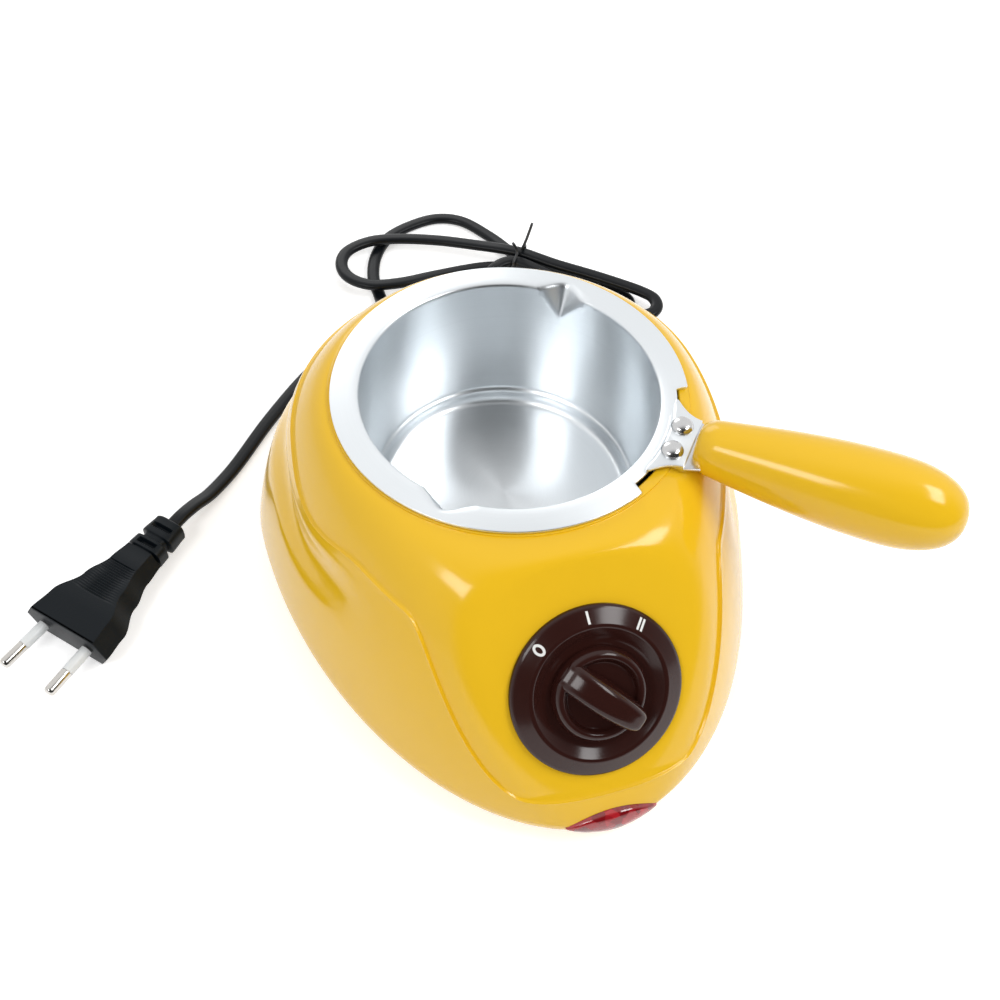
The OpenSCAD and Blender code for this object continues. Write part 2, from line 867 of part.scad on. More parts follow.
// Swept tubes: a ring at every point, the section's flats level
function unit(v) = v / norm(v);
function at_end(p, i) = p[min(max(i, 0), len(p) - 1)];
function bend(p0, p1, p2, p3, t) =
    (2 * p1 + (p2 - p0) * t + (2 * p0 - 5 * p1 + 4 * p2 - p3) * t * t
        + (3 * p1 - 3 * p2 + p3 - p0) * t * t * t) / 2;
function line_of(p, k) = [for (i = [0:k * (len(p) - 1)])
    let (j = min(floor(i / k), len(p) - 2), t = i / k - j)
    bend(at_end(p, j - 1), at_end(p, j), at_end(p, j + 1), at_end(p, j + 2), t)];
function path_len(p, i = 0) = i >= len(p) - 1 ? 0 : norm(p[i + 1] - p[i]) + path_len(p, i + 1);
function heading(p, i) = unit(at_end(p, i + 1) - at_end(p, i - 1));
function tube_ring(c, d, up, w, t, n) =
    let (s = unit(cross(d, up)), u = cross(s, d), g = 1 / cos(180 / n))
    [for (k = [0:n - 1]) let (a = 360 * (k + 0.5) / n) c + s * (w * g * cos(a) / 2) + u * (t * g * sin(a) / 2)];
module tube(p, i0, i1, up, w, t, n, ends = [undef, undef]) {
    m = i1 - i0;
    function way(i) = i == 0 && ends[0] != undef ? ends[0] :
        i == len(p) - 1 && ends[1] != undef ? ends[1] : heading(p, i);
    polyhedron(
        points = [for (i = [i0:i1]) each tube_ring(p[i], way(i), up, w, t, n)],
        faces = concat(
            [[for (k = [0:n - 1]) k]],
            [for (i = [0:m - 1]) for (k = [0:n - 1])
                let (a = i * n + k, b = i * n + (k + 1) % n)
                each [[b, a, b + n], [a, a + n, b + n]]],
            [[for (k = [n - 1:-1:0]) m * n + k]]
        ),
        convexity = 10
    );
}

// The plug lies flat; its tail points towards the cord
plug_end = [-114.5, 30.7];
plug_turn = 43.3;
plug_dir = [cos(plug_turn), sin(plug_turn)];
plug_z = plug_t / 2;
plug_all = plug_len + tail_len;

// Cord path: from the grommet to the loops, through the tie twice each way, and on to the plug
lead_pts = [
    [exit_x, tail_rear, exit_z], [exit_x, tail_rear + cord_w, exit_z],
    [-15.8, 118, 8.4], [-15.4, 124, 5], [-15, 131, 2.3]
];
hank_pts = [
    [-15, 131, 2.3], [-15, 137, 1.8], [-15, 148, 1.8], [-11, 161, 1.8], [-3, 172, 1.8], [9, 178, 1.8],
    [22, 180, 1.8], [33, 175, 1.8], [42, 162, 1.8], [47, 151, 2.4], [51, 141.4, 3.2], [57, 135.8, 2.6],
    [64, 130, 1.9], [75, 121, 1.8], [82, 115, 1.8], [86.3, 111, 1.8], [88.6, 107.8, 1.8], [88.8, 104.4, 1.8],
    [87, 101.6, 1.8], [83.8, 100.6, 1.8], [80, 102.2, 1.8], [72, 110, 1.8], [64, 119, 1.9], [55, 128.5, 2.6], [47, 136.6, 3.2], [41, 139.6, 2.9],
    [34, 141, 3], [25, 140.5, 3.8], [10, 138.5, 5.2], [-5, 137, 5.9], [-18, 139, 5.9], [-26, 146, 5.9],
    [-27.5, 155, 5.9], [-23, 163, 5.9], [-12, 167, 5.9], [1, 165.5, 5.9], [18, 160, 5.9], [34, 152, 6.3],
    [43, 146.5, 7.1], [51, 141.4, 7.3], [57, 136, 7.3], [64, 130, 7], [78, 120, 6.2], [90, 110, 5.9],
    [95, 105, 5.9], [98, 100.5, 5.9], [97.6, 95.3, 5.9], [94, 92, 5.9], [89, 92.3, 5.9], [82, 98.3, 5.9],
    [74, 107, 5.9], [65, 117, 6.2], [55, 128.5, 7], [47.6, 136, 7.3], [42, 137, 7.4], [37, 135, 7.2],
    [30.5, 131.6, 4.8], [20, 127.5, 2]
];
climb = [[20, 3.4], [12, 5.7]];
run_pts = [
    [20, 127.5, 2], [0, 121.5, 1.8], [-15, 116.5, 1.8], [-30, 112.5, 1.8], [-41, 107, 1.8], [-50, 100, 1.8],
    [-60, 90.5, 1.8], [-74, 75, 1.8], [-86, 60, 1.8], [-92.5, 52.4, 2.1],
    [plug_end[0] + climb[0][0] * plug_dir[0], plug_end[1] + climb[0][0] * plug_dir[1], climb[0][1]],
    [plug_end[0] + climb[1][0] * plug_dir[0], plug_end[1] + climb[1][0] * plug_dir[1], climb[1][1]],
    [plug_end[0] + cord_w * plug_dir[0], plug_end[1] + cord_w * plug_dir[1], plug_z],
    [plug_end[0], plug_end[1], plug_z]
];
cord_steps = 2;
function after_first(p) = [for (i = [1:len(p) - 1]) p[i]];
cord_pts = concat(lead_pts, after_first(hank_pts), after_first(run_pts));
cord_line = line_of(cord_pts, cord_steps);
hank_from = cord_steps * (len(lead_pts) - 1);
hank_to = hank_from + cord_steps * (len(hank_pts) - 1);
cord_last = len(cord_line) - 1;
flat_up = [0, 0, 1];
cord_sides = 8;
cord_ends = [[0, 1, 0], [-plug_dir[0], -plug_dir[1], 0]];
function pair_gap(a, b) = max(abs(a[2] - b[2]) - cord_t, norm([a[0] - b[0], a[1] - b[1]]) - cord_w);
gap_skip = 4;
cord_gap = min([for (i = [0:cord_last - gap_skip - 1]) for (j = [i + gap_skip:cord_last])
    pair_gap(cord_line[i], cord_line[j])]);
echo(cord_length = path_len(cord_line), least_self_gap = cord_gap);

module cord_lead() {
    color("black")
        tube(cord_line, 0, hank_from, flat_up, cord_w, cord_t, cord_sides, cord_ends);
}
module cord_hank() {
    color("black")
        tube(cord_line, hank_from, hank_to, flat_up, cord_w, cord_t, cord_sides);
}
module cord_run() {
    color("black")
        tube(cord_line, hank_to, cord_last, flat_up, cord_w, cord_t, cord_sides, cord_ends);
}
module inner_cord() {
    color("black")
        translate([exit_x, block_y + block_l / 2, exit_z])
            rotate([-90, 0, 0])
                linear_extrude(grommet_front - block_y - block_l / 2)
                    polygon([for (k = [0:cord_sides - 1])
                        let (a = 360 * (k + 0.5) / cord_sides, g = 1 / cos(180 / cord_sides))
                        [cord_w * g * cos(a) / 2, cord_t * g * sin(a) / 2]]);
}

// Twist tie round the bundle: x across the bundle, y along it, z up
tie_at = [49, 139, 0];
tie_turn = -40;
tie_d = 1.2;
tie_pts = [
    [3, 4, 25], [1.9, 2.6, 18], [1, 1.2, 12.5], [1.6, 0.5, 10.6], [4, 0.1, 10], [6.4, 0, 9.3], [6.9, 0, 8],
    [6.9, 0, 5], [6.9, 0, 2.4], [6.2, 0, 1], [4, 0, 0.7], [-4, 0, 0.7], [-6.2, 0, 1], [-6.9, 0, 2.4],
    [-6.9, 0, 5], [-6.9, 0, 8], [-6.4, 0, 9.3], [-4, -0.1, 10], [-1.6, -0.5, 10.6], [-1, -1.2, 12.5],
    [-2.5, -2.2, 16]
];
module twist_tie() {
    color("dimgray")
        translate(tie_at)
            rotate([0, 0, tie_turn])
                tube([for (p = tie_pts) [p[1], p[0], p[2]]], 0, len(tie_pts) - 1, [1, 0, 0], tie_d, tie_d, 6);
}

// Plug: face at x = 0, body and tail along x
plug_share = [[0, 0.5, 1], [0.34, 0.46, 1], [0.68, 0.27, 0.86], [1, 0.2, 0.74]];
plug_point_share = 0.62;
module on_plug() {
    translate([plug_end[0] - plug_all * plug_dir[0], plug_end[1] - plug_all * plug_dir[1], plug_z])
        rotate([0, 0, plug_turn])
            children();
}
function plug_ring(s) =
    let (x = s[0] * plug_len, w = s[1] * plug_w, t = s[2] * plug_t / 2, v = w - t * plug_point_share)
    [[x, w, 0], [x, v, t], [x, -v, t], [x, -w, 0], [x, -v, -t], [x, v, -t]];
module plug_body() {
    color("black")
        on_plug() {
            m = len(plug_share);
            polyhedron(
                points = [for (s = plug_share) each plug_ring(s)],
                faces = concat(
                    [[for (k = [0:5]) k]],
                    [for (i = [0:m - 2]) for (k = [0:5])
                        let (a = i * 6 + k, b = i * 6 + (k + 1) % 6)
                        each [[b, a, b + 6], [a, a + 6, b + 6]]],
                    [[for (k = [5:-1:0]) (m - 1) * 6 + k]]
                )
            );
            rotate([0, 90, 0])
                rotate_extrude($fn = 32)
                    polygon(concat(
                        [[0, plug_len - rib_sink]],
                        [[plug_tail_r0, plug_len - rib_sink]],
                        tail_outline(plug_tail_r0, tail_r1, plug_len, plug_all, plug_ribs),
                        [[0, plug_all]]
                    ));
        }
}
plug_tail_r0 = 4.9;
plug_ribs = 6;
pin_y = 9.3;
pin_lean = 1.66;
pin_core_r = 1.45;
pin_tip = 1;
module on_pins() {
    on_plug()
        for (s = [-1, 1])
            translate([0, s * pin_y, 0])
                rotate([0, -90, -s * pin_lean])
                    children();
}
module plug_pins() {
    color("silver")
        on_pins()
            rotate_extrude($fn = 32)
                polygon([
                    [0, pin_tip / 2],
                    [pin_core_r, pin_tip / 2],
                    [pin_core_r, sleeve_len],
                    [pin_r, sleeve_len],
                    [pin_r, pin_len - pin_tip],
                    [pin_r - pin_tip, pin_len],
                    [0, pin_len]
                ]);
}
module pin_sleeves() {
    color("white")
        on_pins()
            translate([0, 0, pin_tip / 2])
                difference() {
                    cylinder(r = pin_r, h = sleeve_len - pin_tip / 2, $fn = 32);
                    translate([0, 0, -over])
                        cylinder(r = pin_core_r + snug, h = sleeve_len + 2 * over, $fn = 32);
                }
}

// Pot: drawn bowl with a flat flange, two pouring lips and a raised tab for the handle
bowl_step = [1.5, 4.5, 1.7, 3.4, 5.5];
mouth_round = 1.6;
lip_turns = [51.3, -128.7];
lip_wide_share = [[-1, 0], [-0.75, 0.42], [-0.4, 0.83], [0, 1], [0.4, 0.83], [0.75, 0.42], [1, 0]];
notch_half = 24.4;
notch_deep = 4.5;
notch_r = flange_r - notch_deep;
tab_half = 10;
tab_spread = 8.6;
tab_low = flange_low + bracket_sheet;
tab_rows = 8;
function bowl_inner() = [
    [mouth_r + mouth_round, flange_top],
    [mouth_r + mouth_round / 3, flange_top - mouth_round / 3],
    [mouth_r, flange_top - mouth_round],
    [pot_low_r, pot_floor + bowl_step[4]],
    [pot_low_r - bowl_step[0], pot_floor + bowl_step[1]],
    [pot_low_r - bowl_step[2], pot_floor + bowl_step[2]],
    [pot_low_r - bowl_step[3], pot_floor],
    [0, pot_floor]
];
function bowl_outer() = [
    [0, pot_floor - pot_sheet],
    [pot_low_r - bowl_step[3] + pot_sheet / 2, pot_floor - pot_sheet],
    [pot_low_r - bowl_step[2] + pot_sheet, pot_floor + bowl_step[2] - pot_sheet / 2],
    [pot_low_r - bowl_step[0] + pot_sheet, pot_floor + bowl_step[1] - pot_sheet],
    [pot_low_r + pot_sheet, pot_floor + bowl_step[4] - pot_sheet / 2],
    [mouth_r + pot_sheet, flange_low - mouth_round / 2],
    [mouth_r + pot_sheet + mouth_round / 2, flange_low],
    [mouth_r + mouth_round + pot_sheet, flange_low],
    [mouth_r + mouth_round + pot_sheet, flange_top]
];
module lip_wedge(grow, z) {
    hull() {
        translate([0, 0, z])
            linear_extrude(snug)
                polygon(concat(
                    [for (s = lip_wide_share)
                        [mouth_r - pot_sheet + (lip_push + pot_sheet) * s[1] + grow, (lip_half_w + grow) * s[0]]],
                    [[mouth_r - 2 * pot_sheet, 0]]
                ));
        translate([mouth_r - 2 * pot_sheet, -snug / 2, flange_top - lip_drop - grow])
            cube([pot_sheet + grow, snug, snug]);
    }
}
module tab_outline(grow) {
    polygon(concat(
        [for (i = [0:tab_rows]) let (k = i / tab_rows)
            [tab_in + (tab_out - tab_in) * k, -(tab_half + tab_spread * pow((1 - k) * tab_share, 2)) - grow]],
        [for (i = [tab_rows:-1:0]) let (k = i / tab_rows)
            [tab_in + (tab_out - tab_in) * k, tab_half + tab_spread * pow((1 - k) * tab_share, 2) + grow]]
    ));
}
tab_share = 0.79;
module pot_bowl() {
    color("gainsboro")
        difference() {
            union() {
                rotate_extrude($fn = 96)
                    polygon(concat(bowl_inner(), bowl_outer()));
                translate([0, 0, flange_low])
                    linear_extrude(pot_sheet)
                        difference() {
                            circle(r = flange_r, $fn = 96);
                            circle(r = mouth_r + mouth_round, $fn = 96);
                            rotate([0, 0, handle_turn])
                                difference() {
                                    polygon([
                                        [0, 0],
                                        [2 * flange_r * cos(notch_half), -2 * flange_r * sin(notch_half)],
                                        [2 * flange_r * cos(notch_half), 2 * flange_r * sin(notch_half)]
                                    ]);
                                    circle(r = notch_r, $fn = 96);
                                }
                        }
                on_handle() {
                    translate([0, 0, tab_low])
                        linear_extrude(pot_sheet)
                            tab_outline(0);
                    translate([0, 0, flange_low])
                        linear_extrude(bracket_sheet + pot_sheet)
                            intersection() {
                                tab_outline(0);
                                translate([tab_in, -2 * tab_half])
                                    square([pot_sheet, 4 * tab_half]);
                            }
                }
                for (a = lip_turns)
                    rotate([0, 0, a])
                        lip_wedge(pot_sheet, flange_low - snug);
            }
            for (a = lip_turns)
                rotate([0, 0, a])
                    lip_wedge(0, flange_top);
            on_handle()
                for (s = [-1, 1])
                    translate([rivet_at, s * rivet_pitch / 2, flange_low - over])
                        cylinder(r = screw_r + snug, h = 2 * pot_sheet + bracket_sheet + over, $fn = 24);
        }
}

// Handle: bracket, rivets, grip and its screw
bracket_inset = 1.3;
bracket_in = tab_in + bracket_inset;
wing_len = 3.5;
tang_len = 24.5;
grip_screw_in = 17.5;
wing_end = handle_root + wing_len;
wing_half = 8;
tang_half = 5;
tang_end = handle_root + tang_len;
handle_screw_at = handle_root + grip_screw_in;
bracket_low = flange_low;
module bracket_outline(grow) {
    polygon([
        [bracket_in, -tab_half - grow],
        [tab_out, -tab_half - grow],
        [wing_end, -wing_half - grow],
        [wing_end + wing_half - tang_half, -tang_half - grow],
        [tang_end + grow, -tang_half - grow],
        [tang_end + grow, tang_half + grow],
        [wing_end + wing_half - tang_half, tang_half + grow],
        [wing_end, wing_half + grow],
        [tab_out, tab_half + grow],
        [bracket_in, tab_half + grow]
    ]);
}
module handle_bracket() {
    color("silver")
        on_handle()
            translate([0, 0, bracket_low])
                difference() {
                    linear_extrude(bracket_sheet)
                        bracket_outline(0);
                    for (s = [-1, 1])
                        translate([rivet_at, s * rivet_pitch / 2, -over])
                            cylinder(r = screw_r + snug, h = bracket_sheet + 2 * over, $fn = 24);
                    translate([handle_screw_at, 0, -over])
                        cylinder(r = screw_r + snug, h = bracket_sheet + 2 * over, $fn = 24);
                }
}
module rivets() {
    color("silver")
        on_handle()
            for (s = [-1, 1])
                translate([rivet_at, s * rivet_pitch / 2, 0])
                    rotate_extrude($fn = 32)
                        polygon([
                            [0, flange_low - tail_h],
                            [tail_r - tail_h / 3, flange_low - tail_h],
                            [tail_r, flange_low - tail_h / 2],
                            [tail_r, flange_low],
                            [screw_r, flange_low],
                            [screw_r, tab_low + pot_sheet],
                            [rivet_head_r, tab_low + pot_sheet],
                            [rivet_head_r, tab_low + pot_sheet + rivet_head_h / 4],
                            [rivet_head_r * 0.85, tab_low + pot_sheet + rivet_head_h * 0.62],
                            [rivet_head_r * 0.5, tab_low + pot_sheet + rivet_head_h * 0.92],
                            [0, tab_low + pot_sheet + rivet_head_h]
                        ]);
}
grip_lift = 1.6;
grip_z = flange_top + grip_lift;
grip_root_r = 7.5;
grip_root_edge = 1;
grip_neck_at = 9;
grip_wide_at = 55;
grip_rows = 24;
grip_end_share = 2.4;
shoulder_gap = 0.9;
shoulder_rows = 10;
handle_rb = plan_r(handle_turn, 0);
function grip_r(s) =
    s < grip_neck_at ? grip_root_r + (handle_neck_r - grip_root_r) * s / grip_neck_at :
    s < grip_wide_at ? handle_neck_r
        + (handle_r - handle_neck_r) * sin(90 * (s - grip_neck_at) / (grip_wide_at - grip_neck_at)) :
    let (e = grip_end_share, k = (s - grip_wide_at) / (handle_len - grip_wide_at))
    handle_r * pow(max(1 - pow(k, e), 0), 1 / e);
module handle_grip() {
    color("gold")
        on_handle()
            difference() {
                translate([handle_root, 0, grip_z])
                    rotate([0, 90 - handle_rise, 0])
                        rotate_extrude()
                            polygon(concat(
                                [[0, 0], [grip_root_r - grip_root_edge, 0]],
                                [for (i = [1:grip_rows]) let (s = handle_len * sin(90 * i / grip_rows)) [grip_r(s), s]]
                            ));
                translate([0, 0, bracket_low - snug])
                    linear_extrude(bracket_sheet + 2 * snug)
                        bracket_outline(snug);
                translate([handle_screw_at, 0, bracket_low - grip_under])
                    cylinder(r = screw_r + snug, h = grip_under + grip_z + grip_bite - bracket_low, $fn = 24);
                translate([handle_screw_at, 0, 0])
                    cylinder(r = head_r + fit, h = bracket_low - grip_under, $fn = 24);
                rotate_extrude()
                    polygon(concat(
                        [[0, bulge_z]],
                        [for (i = [0:shoulder_rows])
                            let (z = bulge_z + (top_z - bulge_z) * sin(90 * i / shoulder_rows))
                            [skin_reach(handle_turn, handle_rb, z) + shoulder_gap, z + shoulder_gap / 2]],
                        [[0, top_z + shoulder_gap / 2]]
                    ));
            }
}
grip_bite = 4;
grip_under = 3;
module handle_screw() {
    color("silver")
        on_handle()
            translate([handle_screw_at, 0, bracket_low - grip_under])
                screw_up(grip_under + grip_z - bracket_low + grip_bite - fit);
}

// Knob and the shaft it turns
knob_low = dish_floor + gap;
knob_edge = 0.8;
knob_shape_share = [[1, 0.32], [0.945, 0.8], [0.83, 1], [0.68, 0.94], [0, 0.6]];
hub_r = 4.6;
tip_r = 2;
shaft_shoulder = 4.2;
shaft_tip = 8;
grip_side_share = [
    [-0.97, 0.1], [-0.97, 0.3], [-0.8, 0.55], [-0.4, 0.84], [0, 0.97],
    [0.45, 1], [0.85, 0.93], [0.93, 0.8], [0.93, 0.1]
];
module knob() {
    color("saddlebrown")
        on_panel()
            difference() {
                union() {
                    rotate_extrude()
                        polygon(concat(
                            [[0, knob_low], [knob_r - knob_edge, knob_low], [knob_r, knob_low + knob_edge]],
                            [for (s = knob_shape_share) [knob_r * s[0], knob_low + knob_edge + knob_dome_h * s[1]]]
                        ));
                    rotate([0, 0, 90 + setting_turn])
                        translate([0, grip_w / 2, knob_low + knob_edge])
                            rotate([90, 0, 0])
                                linear_extrude(grip_w)
                                    polygon([for (s = grip_side_share) [-knob_r * s[0], grip_h * s[1]]]);
                }
                cylinder(r = shaft_r + snug, h = shaft_shoulder, $fn = 32);
                cylinder(r = tip_r + snug, h = shaft_tip, $fn = 32);
            }
}
module switch_shaft() {
    color("ivory")
        on_panel()
            rotate_extrude($fn = 32)
                polygon([
                    [0, switch_top - shaft_low],
                    [shaft_r, switch_top - shaft_low],
                    [shaft_r, shaft_shoulder],
                    [tip_r, shaft_shoulder],
                    [tip_r, shaft_tip],
                    [0, shaft_tip]
                ]);
}

upper_shell();
base_plate();
rubber_feet();
base_screws();
dial_bezel();
switch_bracket();
switch_body();
switch_nut();
switch_terminals();
switch_screws();
indicator_lens();
neon_lamp();
lamp_resistor();
heater_well();
well_screws();
heating_plate();
mica_heater();
clamp_plate();
clamp_nut();
thermal_cutout();
cutout_rivets();
terminal_block();
cord_clamp();
clamp_screws();
cord_grommet();
inner_cord();
pot_bowl();
handle_bracket();
rivets();
handle_grip();
handle_screw();
knob();
switch_shaft();
cord_lead();
cord_hank();
cord_run();
twist_tie();
plug_body();
plug_pins();
pin_sleeves();
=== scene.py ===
# %% [markdown]
# # A melting pot for chocolate, dressed for the camera
# The exact model of this small warmer is already built. This lesson loads it,
# keeps every part where it is, and gives the parts that people see a smoother
# skin and a real finish. Lengths of pieces are in millimetres and are turned
# into metres by `mm`. The room around them is in metres.

# %% Load the exact model
import json
import math
import bpy
import bmesh
from mathutils import Matrix, Vector


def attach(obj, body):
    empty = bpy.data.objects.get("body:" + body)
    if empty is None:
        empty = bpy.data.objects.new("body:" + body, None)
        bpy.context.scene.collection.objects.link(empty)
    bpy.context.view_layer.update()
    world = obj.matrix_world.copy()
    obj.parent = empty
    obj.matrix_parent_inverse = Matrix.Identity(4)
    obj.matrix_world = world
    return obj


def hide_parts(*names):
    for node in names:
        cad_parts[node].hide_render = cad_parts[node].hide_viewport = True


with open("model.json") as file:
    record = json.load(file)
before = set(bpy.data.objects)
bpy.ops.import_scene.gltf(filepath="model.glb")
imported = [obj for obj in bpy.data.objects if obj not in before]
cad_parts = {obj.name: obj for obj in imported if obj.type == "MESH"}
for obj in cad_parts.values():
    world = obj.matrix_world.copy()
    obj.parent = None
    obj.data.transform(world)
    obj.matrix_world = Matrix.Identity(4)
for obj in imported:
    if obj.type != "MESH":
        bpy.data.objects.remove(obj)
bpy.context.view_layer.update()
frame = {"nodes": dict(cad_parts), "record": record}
mm = 0.001
print("parts in the model:", len(frame["nodes"]))

# %% [markdown]
# ## Camera
# The camera stands in front of the pot, to its left and well above it, so that
# the view looks down into the bowl. Its lens is nearly a normal one, and the
# camera is tipped by three degrees. A rotation built from a forward and an up
# direction is easier to read than three angles.

# %% Place the camera
CAMERA_AT = Vector((-79.8, -230.47, 338.65))
CAMERA_LOOK = Vector((0.1967, 0.5776, -0.7923)).normalized()
CAMERA_ROLL = math.radians(2.99)

camera_data = bpy.data.cameras.new("camera")
camera_data.sensor_width = 36
camera_data.lens = 40.8
camera_data.clip_start = 0.01
camera = bpy.data.objects.new("camera", camera_data)
bpy.context.scene.collection.objects.link(camera)
level = CAMERA_LOOK.cross(Vector((0, 0, 1))).normalized()
upward = level.cross(CAMERA_LOOK)
right = math.cos(CAMERA_ROLL) * level + math.sin(CAMERA_ROLL) * upward
up = -math.sin(CAMERA_ROLL) * level + math.cos(CAMERA_ROLL) * upward
turn = Matrix((right, up, -CAMERA_LOOK)).transposed().to_4x4()
camera.matrix_world = Matrix.Translation(CAMERA_AT * mm) @ turn
bpy.context.scene.camera = camera
print("camera at", [round(v, 3) for v in camera.location])

# %% [markdown]
# ## Room
# A pale sheet runs under the pot and the light comes from large soft panels, as
# in a product studio. The sheet has a faint glow that only the camera, mirrors
# and clear plastic find, so it looks white and still keeps the shadow of the
# object. The room is white to the camera too. Shiny metal shows that room, but
# finds a dark place in front, as a black card would give in a studio.


# %% Shader helpers
def preset(node, values):
    for name, value in values.items():
        node.inputs[name].default_value = value
    return node


def shader_tree(name):
    material = bpy.data.materials.new(name)
    material.use_nodes = True
    tree = material.node_tree
    return material, tree, tree.nodes["Principled BSDF"]


def highest(tree, first, second):
    top = tree.nodes.new("ShaderNodeMath")
    top.operation = "MAXIMUM"
    tree.links.new(first, top.inputs[0])
    tree.links.new(second, top.inputs[1])
    return top.outputs[0]


def seen_ray(tree):
    rays = tree.nodes.new("ShaderNodeLightPath")
    direct = highest(tree, rays.outputs["Is Camera Ray"], rays.outputs["Is Glossy Ray"])
    return highest(tree, direct, rays.outputs["Is Transmission Ray"])


def shader_mix(tree, factor, first, second):
    mix = tree.nodes.new("ShaderNodeMixShader")
    for socket, source in zip(mix.inputs, (factor, first, second)):
        tree.links.new(source, socket)
    return mix.outputs[0]


print("shader helpers ready")

# %% Floor
FLOOR_REACH = 3
FLOOR_GLOW = 0.5
WHITE = (1, 1, 1, 1)

floor_form = bmesh.new()
bmesh.ops.create_grid(floor_form, x_segments=1, y_segments=1, size=FLOOR_REACH)
floor_mesh = bpy.data.meshes.new("floor")
floor_form.to_mesh(floor_mesh)
floor_form.free()
floor = bpy.data.objects.new("floor", floor_mesh)
bpy.context.scene.collection.objects.link(floor)
floor_paint, tree, floor_shader = shader_tree("pale_sheet")
preset(floor_shader, {"Base Color": (0.86, 0.86, 0.86, 1), "Roughness": 0.9})
glow = preset(tree.nodes.new("ShaderNodeEmission"), {"Color": WHITE, "Strength": FLOOR_GLOW})
both = tree.nodes.new("ShaderNodeAddShader")
tree.links.new(floor_shader.outputs[0], both.inputs[0])
tree.links.new(glow.outputs[0], both.inputs[1])
surface = shader_mix(tree, seen_ray(tree), floor_shader.outputs[0], both.outputs[0])
tree.links.new(surface, tree.nodes["Material Output"].inputs["Surface"])
floor_mesh.materials.append(floor_paint)
print("floor reaches", FLOOR_REACH, "m to each side")

# %% World
ROOM_LIGHT = 0.5
DARK_PLACE = Vector((0.1, -0.87, 0.48)).normalized()
DARK_RANGE = {"From Min": 0.2, "From Max": 0.82, "To Min": 1.0, "To Max": 0.03}

world = bpy.data.worlds.new("studio")
bpy.context.scene.world = world
world.use_nodes = True
tree = world.node_tree
nodes, links = tree.nodes, tree.links
room = preset(nodes["Background"], {"Color": WHITE, "Strength": ROOM_LIGHT})
where = nodes.new("ShaderNodeTexCoord")
near = nodes.new("ShaderNodeVectorMath")
near.operation = "DOT_PRODUCT"
near.inputs[1].default_value = DARK_PLACE
links.new(where.outputs["Generated"], near.inputs[0])
shade = nodes.new("ShaderNodeMapRange")
shade.interpolation_type = "SMOOTHSTEP"
preset(shade, DARK_RANGE)
links.new(near.outputs["Value"], shade.inputs["Value"])
rays = nodes.new("ShaderNodeLightPath")
shown = highest(tree, shade.outputs["Result"], rays.outputs["Is Camera Ray"])
mirror = preset(nodes.new("ShaderNodeBackground"), {"Color": WHITE})
links.new(shown, mirror.inputs["Strength"])
surface = shader_mix(tree, seen_ray(tree), room.outputs[0], mirror.outputs[0])
links.new(surface, nodes["World Output"].inputs["Surface"])
print("room light", ROOM_LIGHT)


# %% Lamps
def soft_lamp(name, place, target, width, depth, watts):
    data = bpy.data.lights.new(name, "AREA")
    data.shape = "RECTANGLE"
    data.size, data.size_y = width, depth
    data.energy = watts
    lamp = bpy.data.objects.new(name, data)
    lamp.location = place
    lamp.rotation_mode = "QUATERNION"
    lamp.rotation_quaternion = (Vector(target) - Vector(place)).to_track_quat("-Z", "Y")
    bpy.context.scene.collection.objects.link(lamp)


soft_lamp("right_panel", (0.62, -0.28, 0.95), (0, -0.05, 0.04), 0.6, 0.3, 5.2)
soft_lamp("left_panel", (-0.66, -0.42, 0.9), (0, -0.05, 0.04), 0.44, 0.3, 3.3)
soft_lamp("back_fill", (0, 0.9, 0.5), (0, 0, 0.05), 0.5, 0.5, 1.5)
bpy.context.scene.view_settings.view_transform = "Standard"
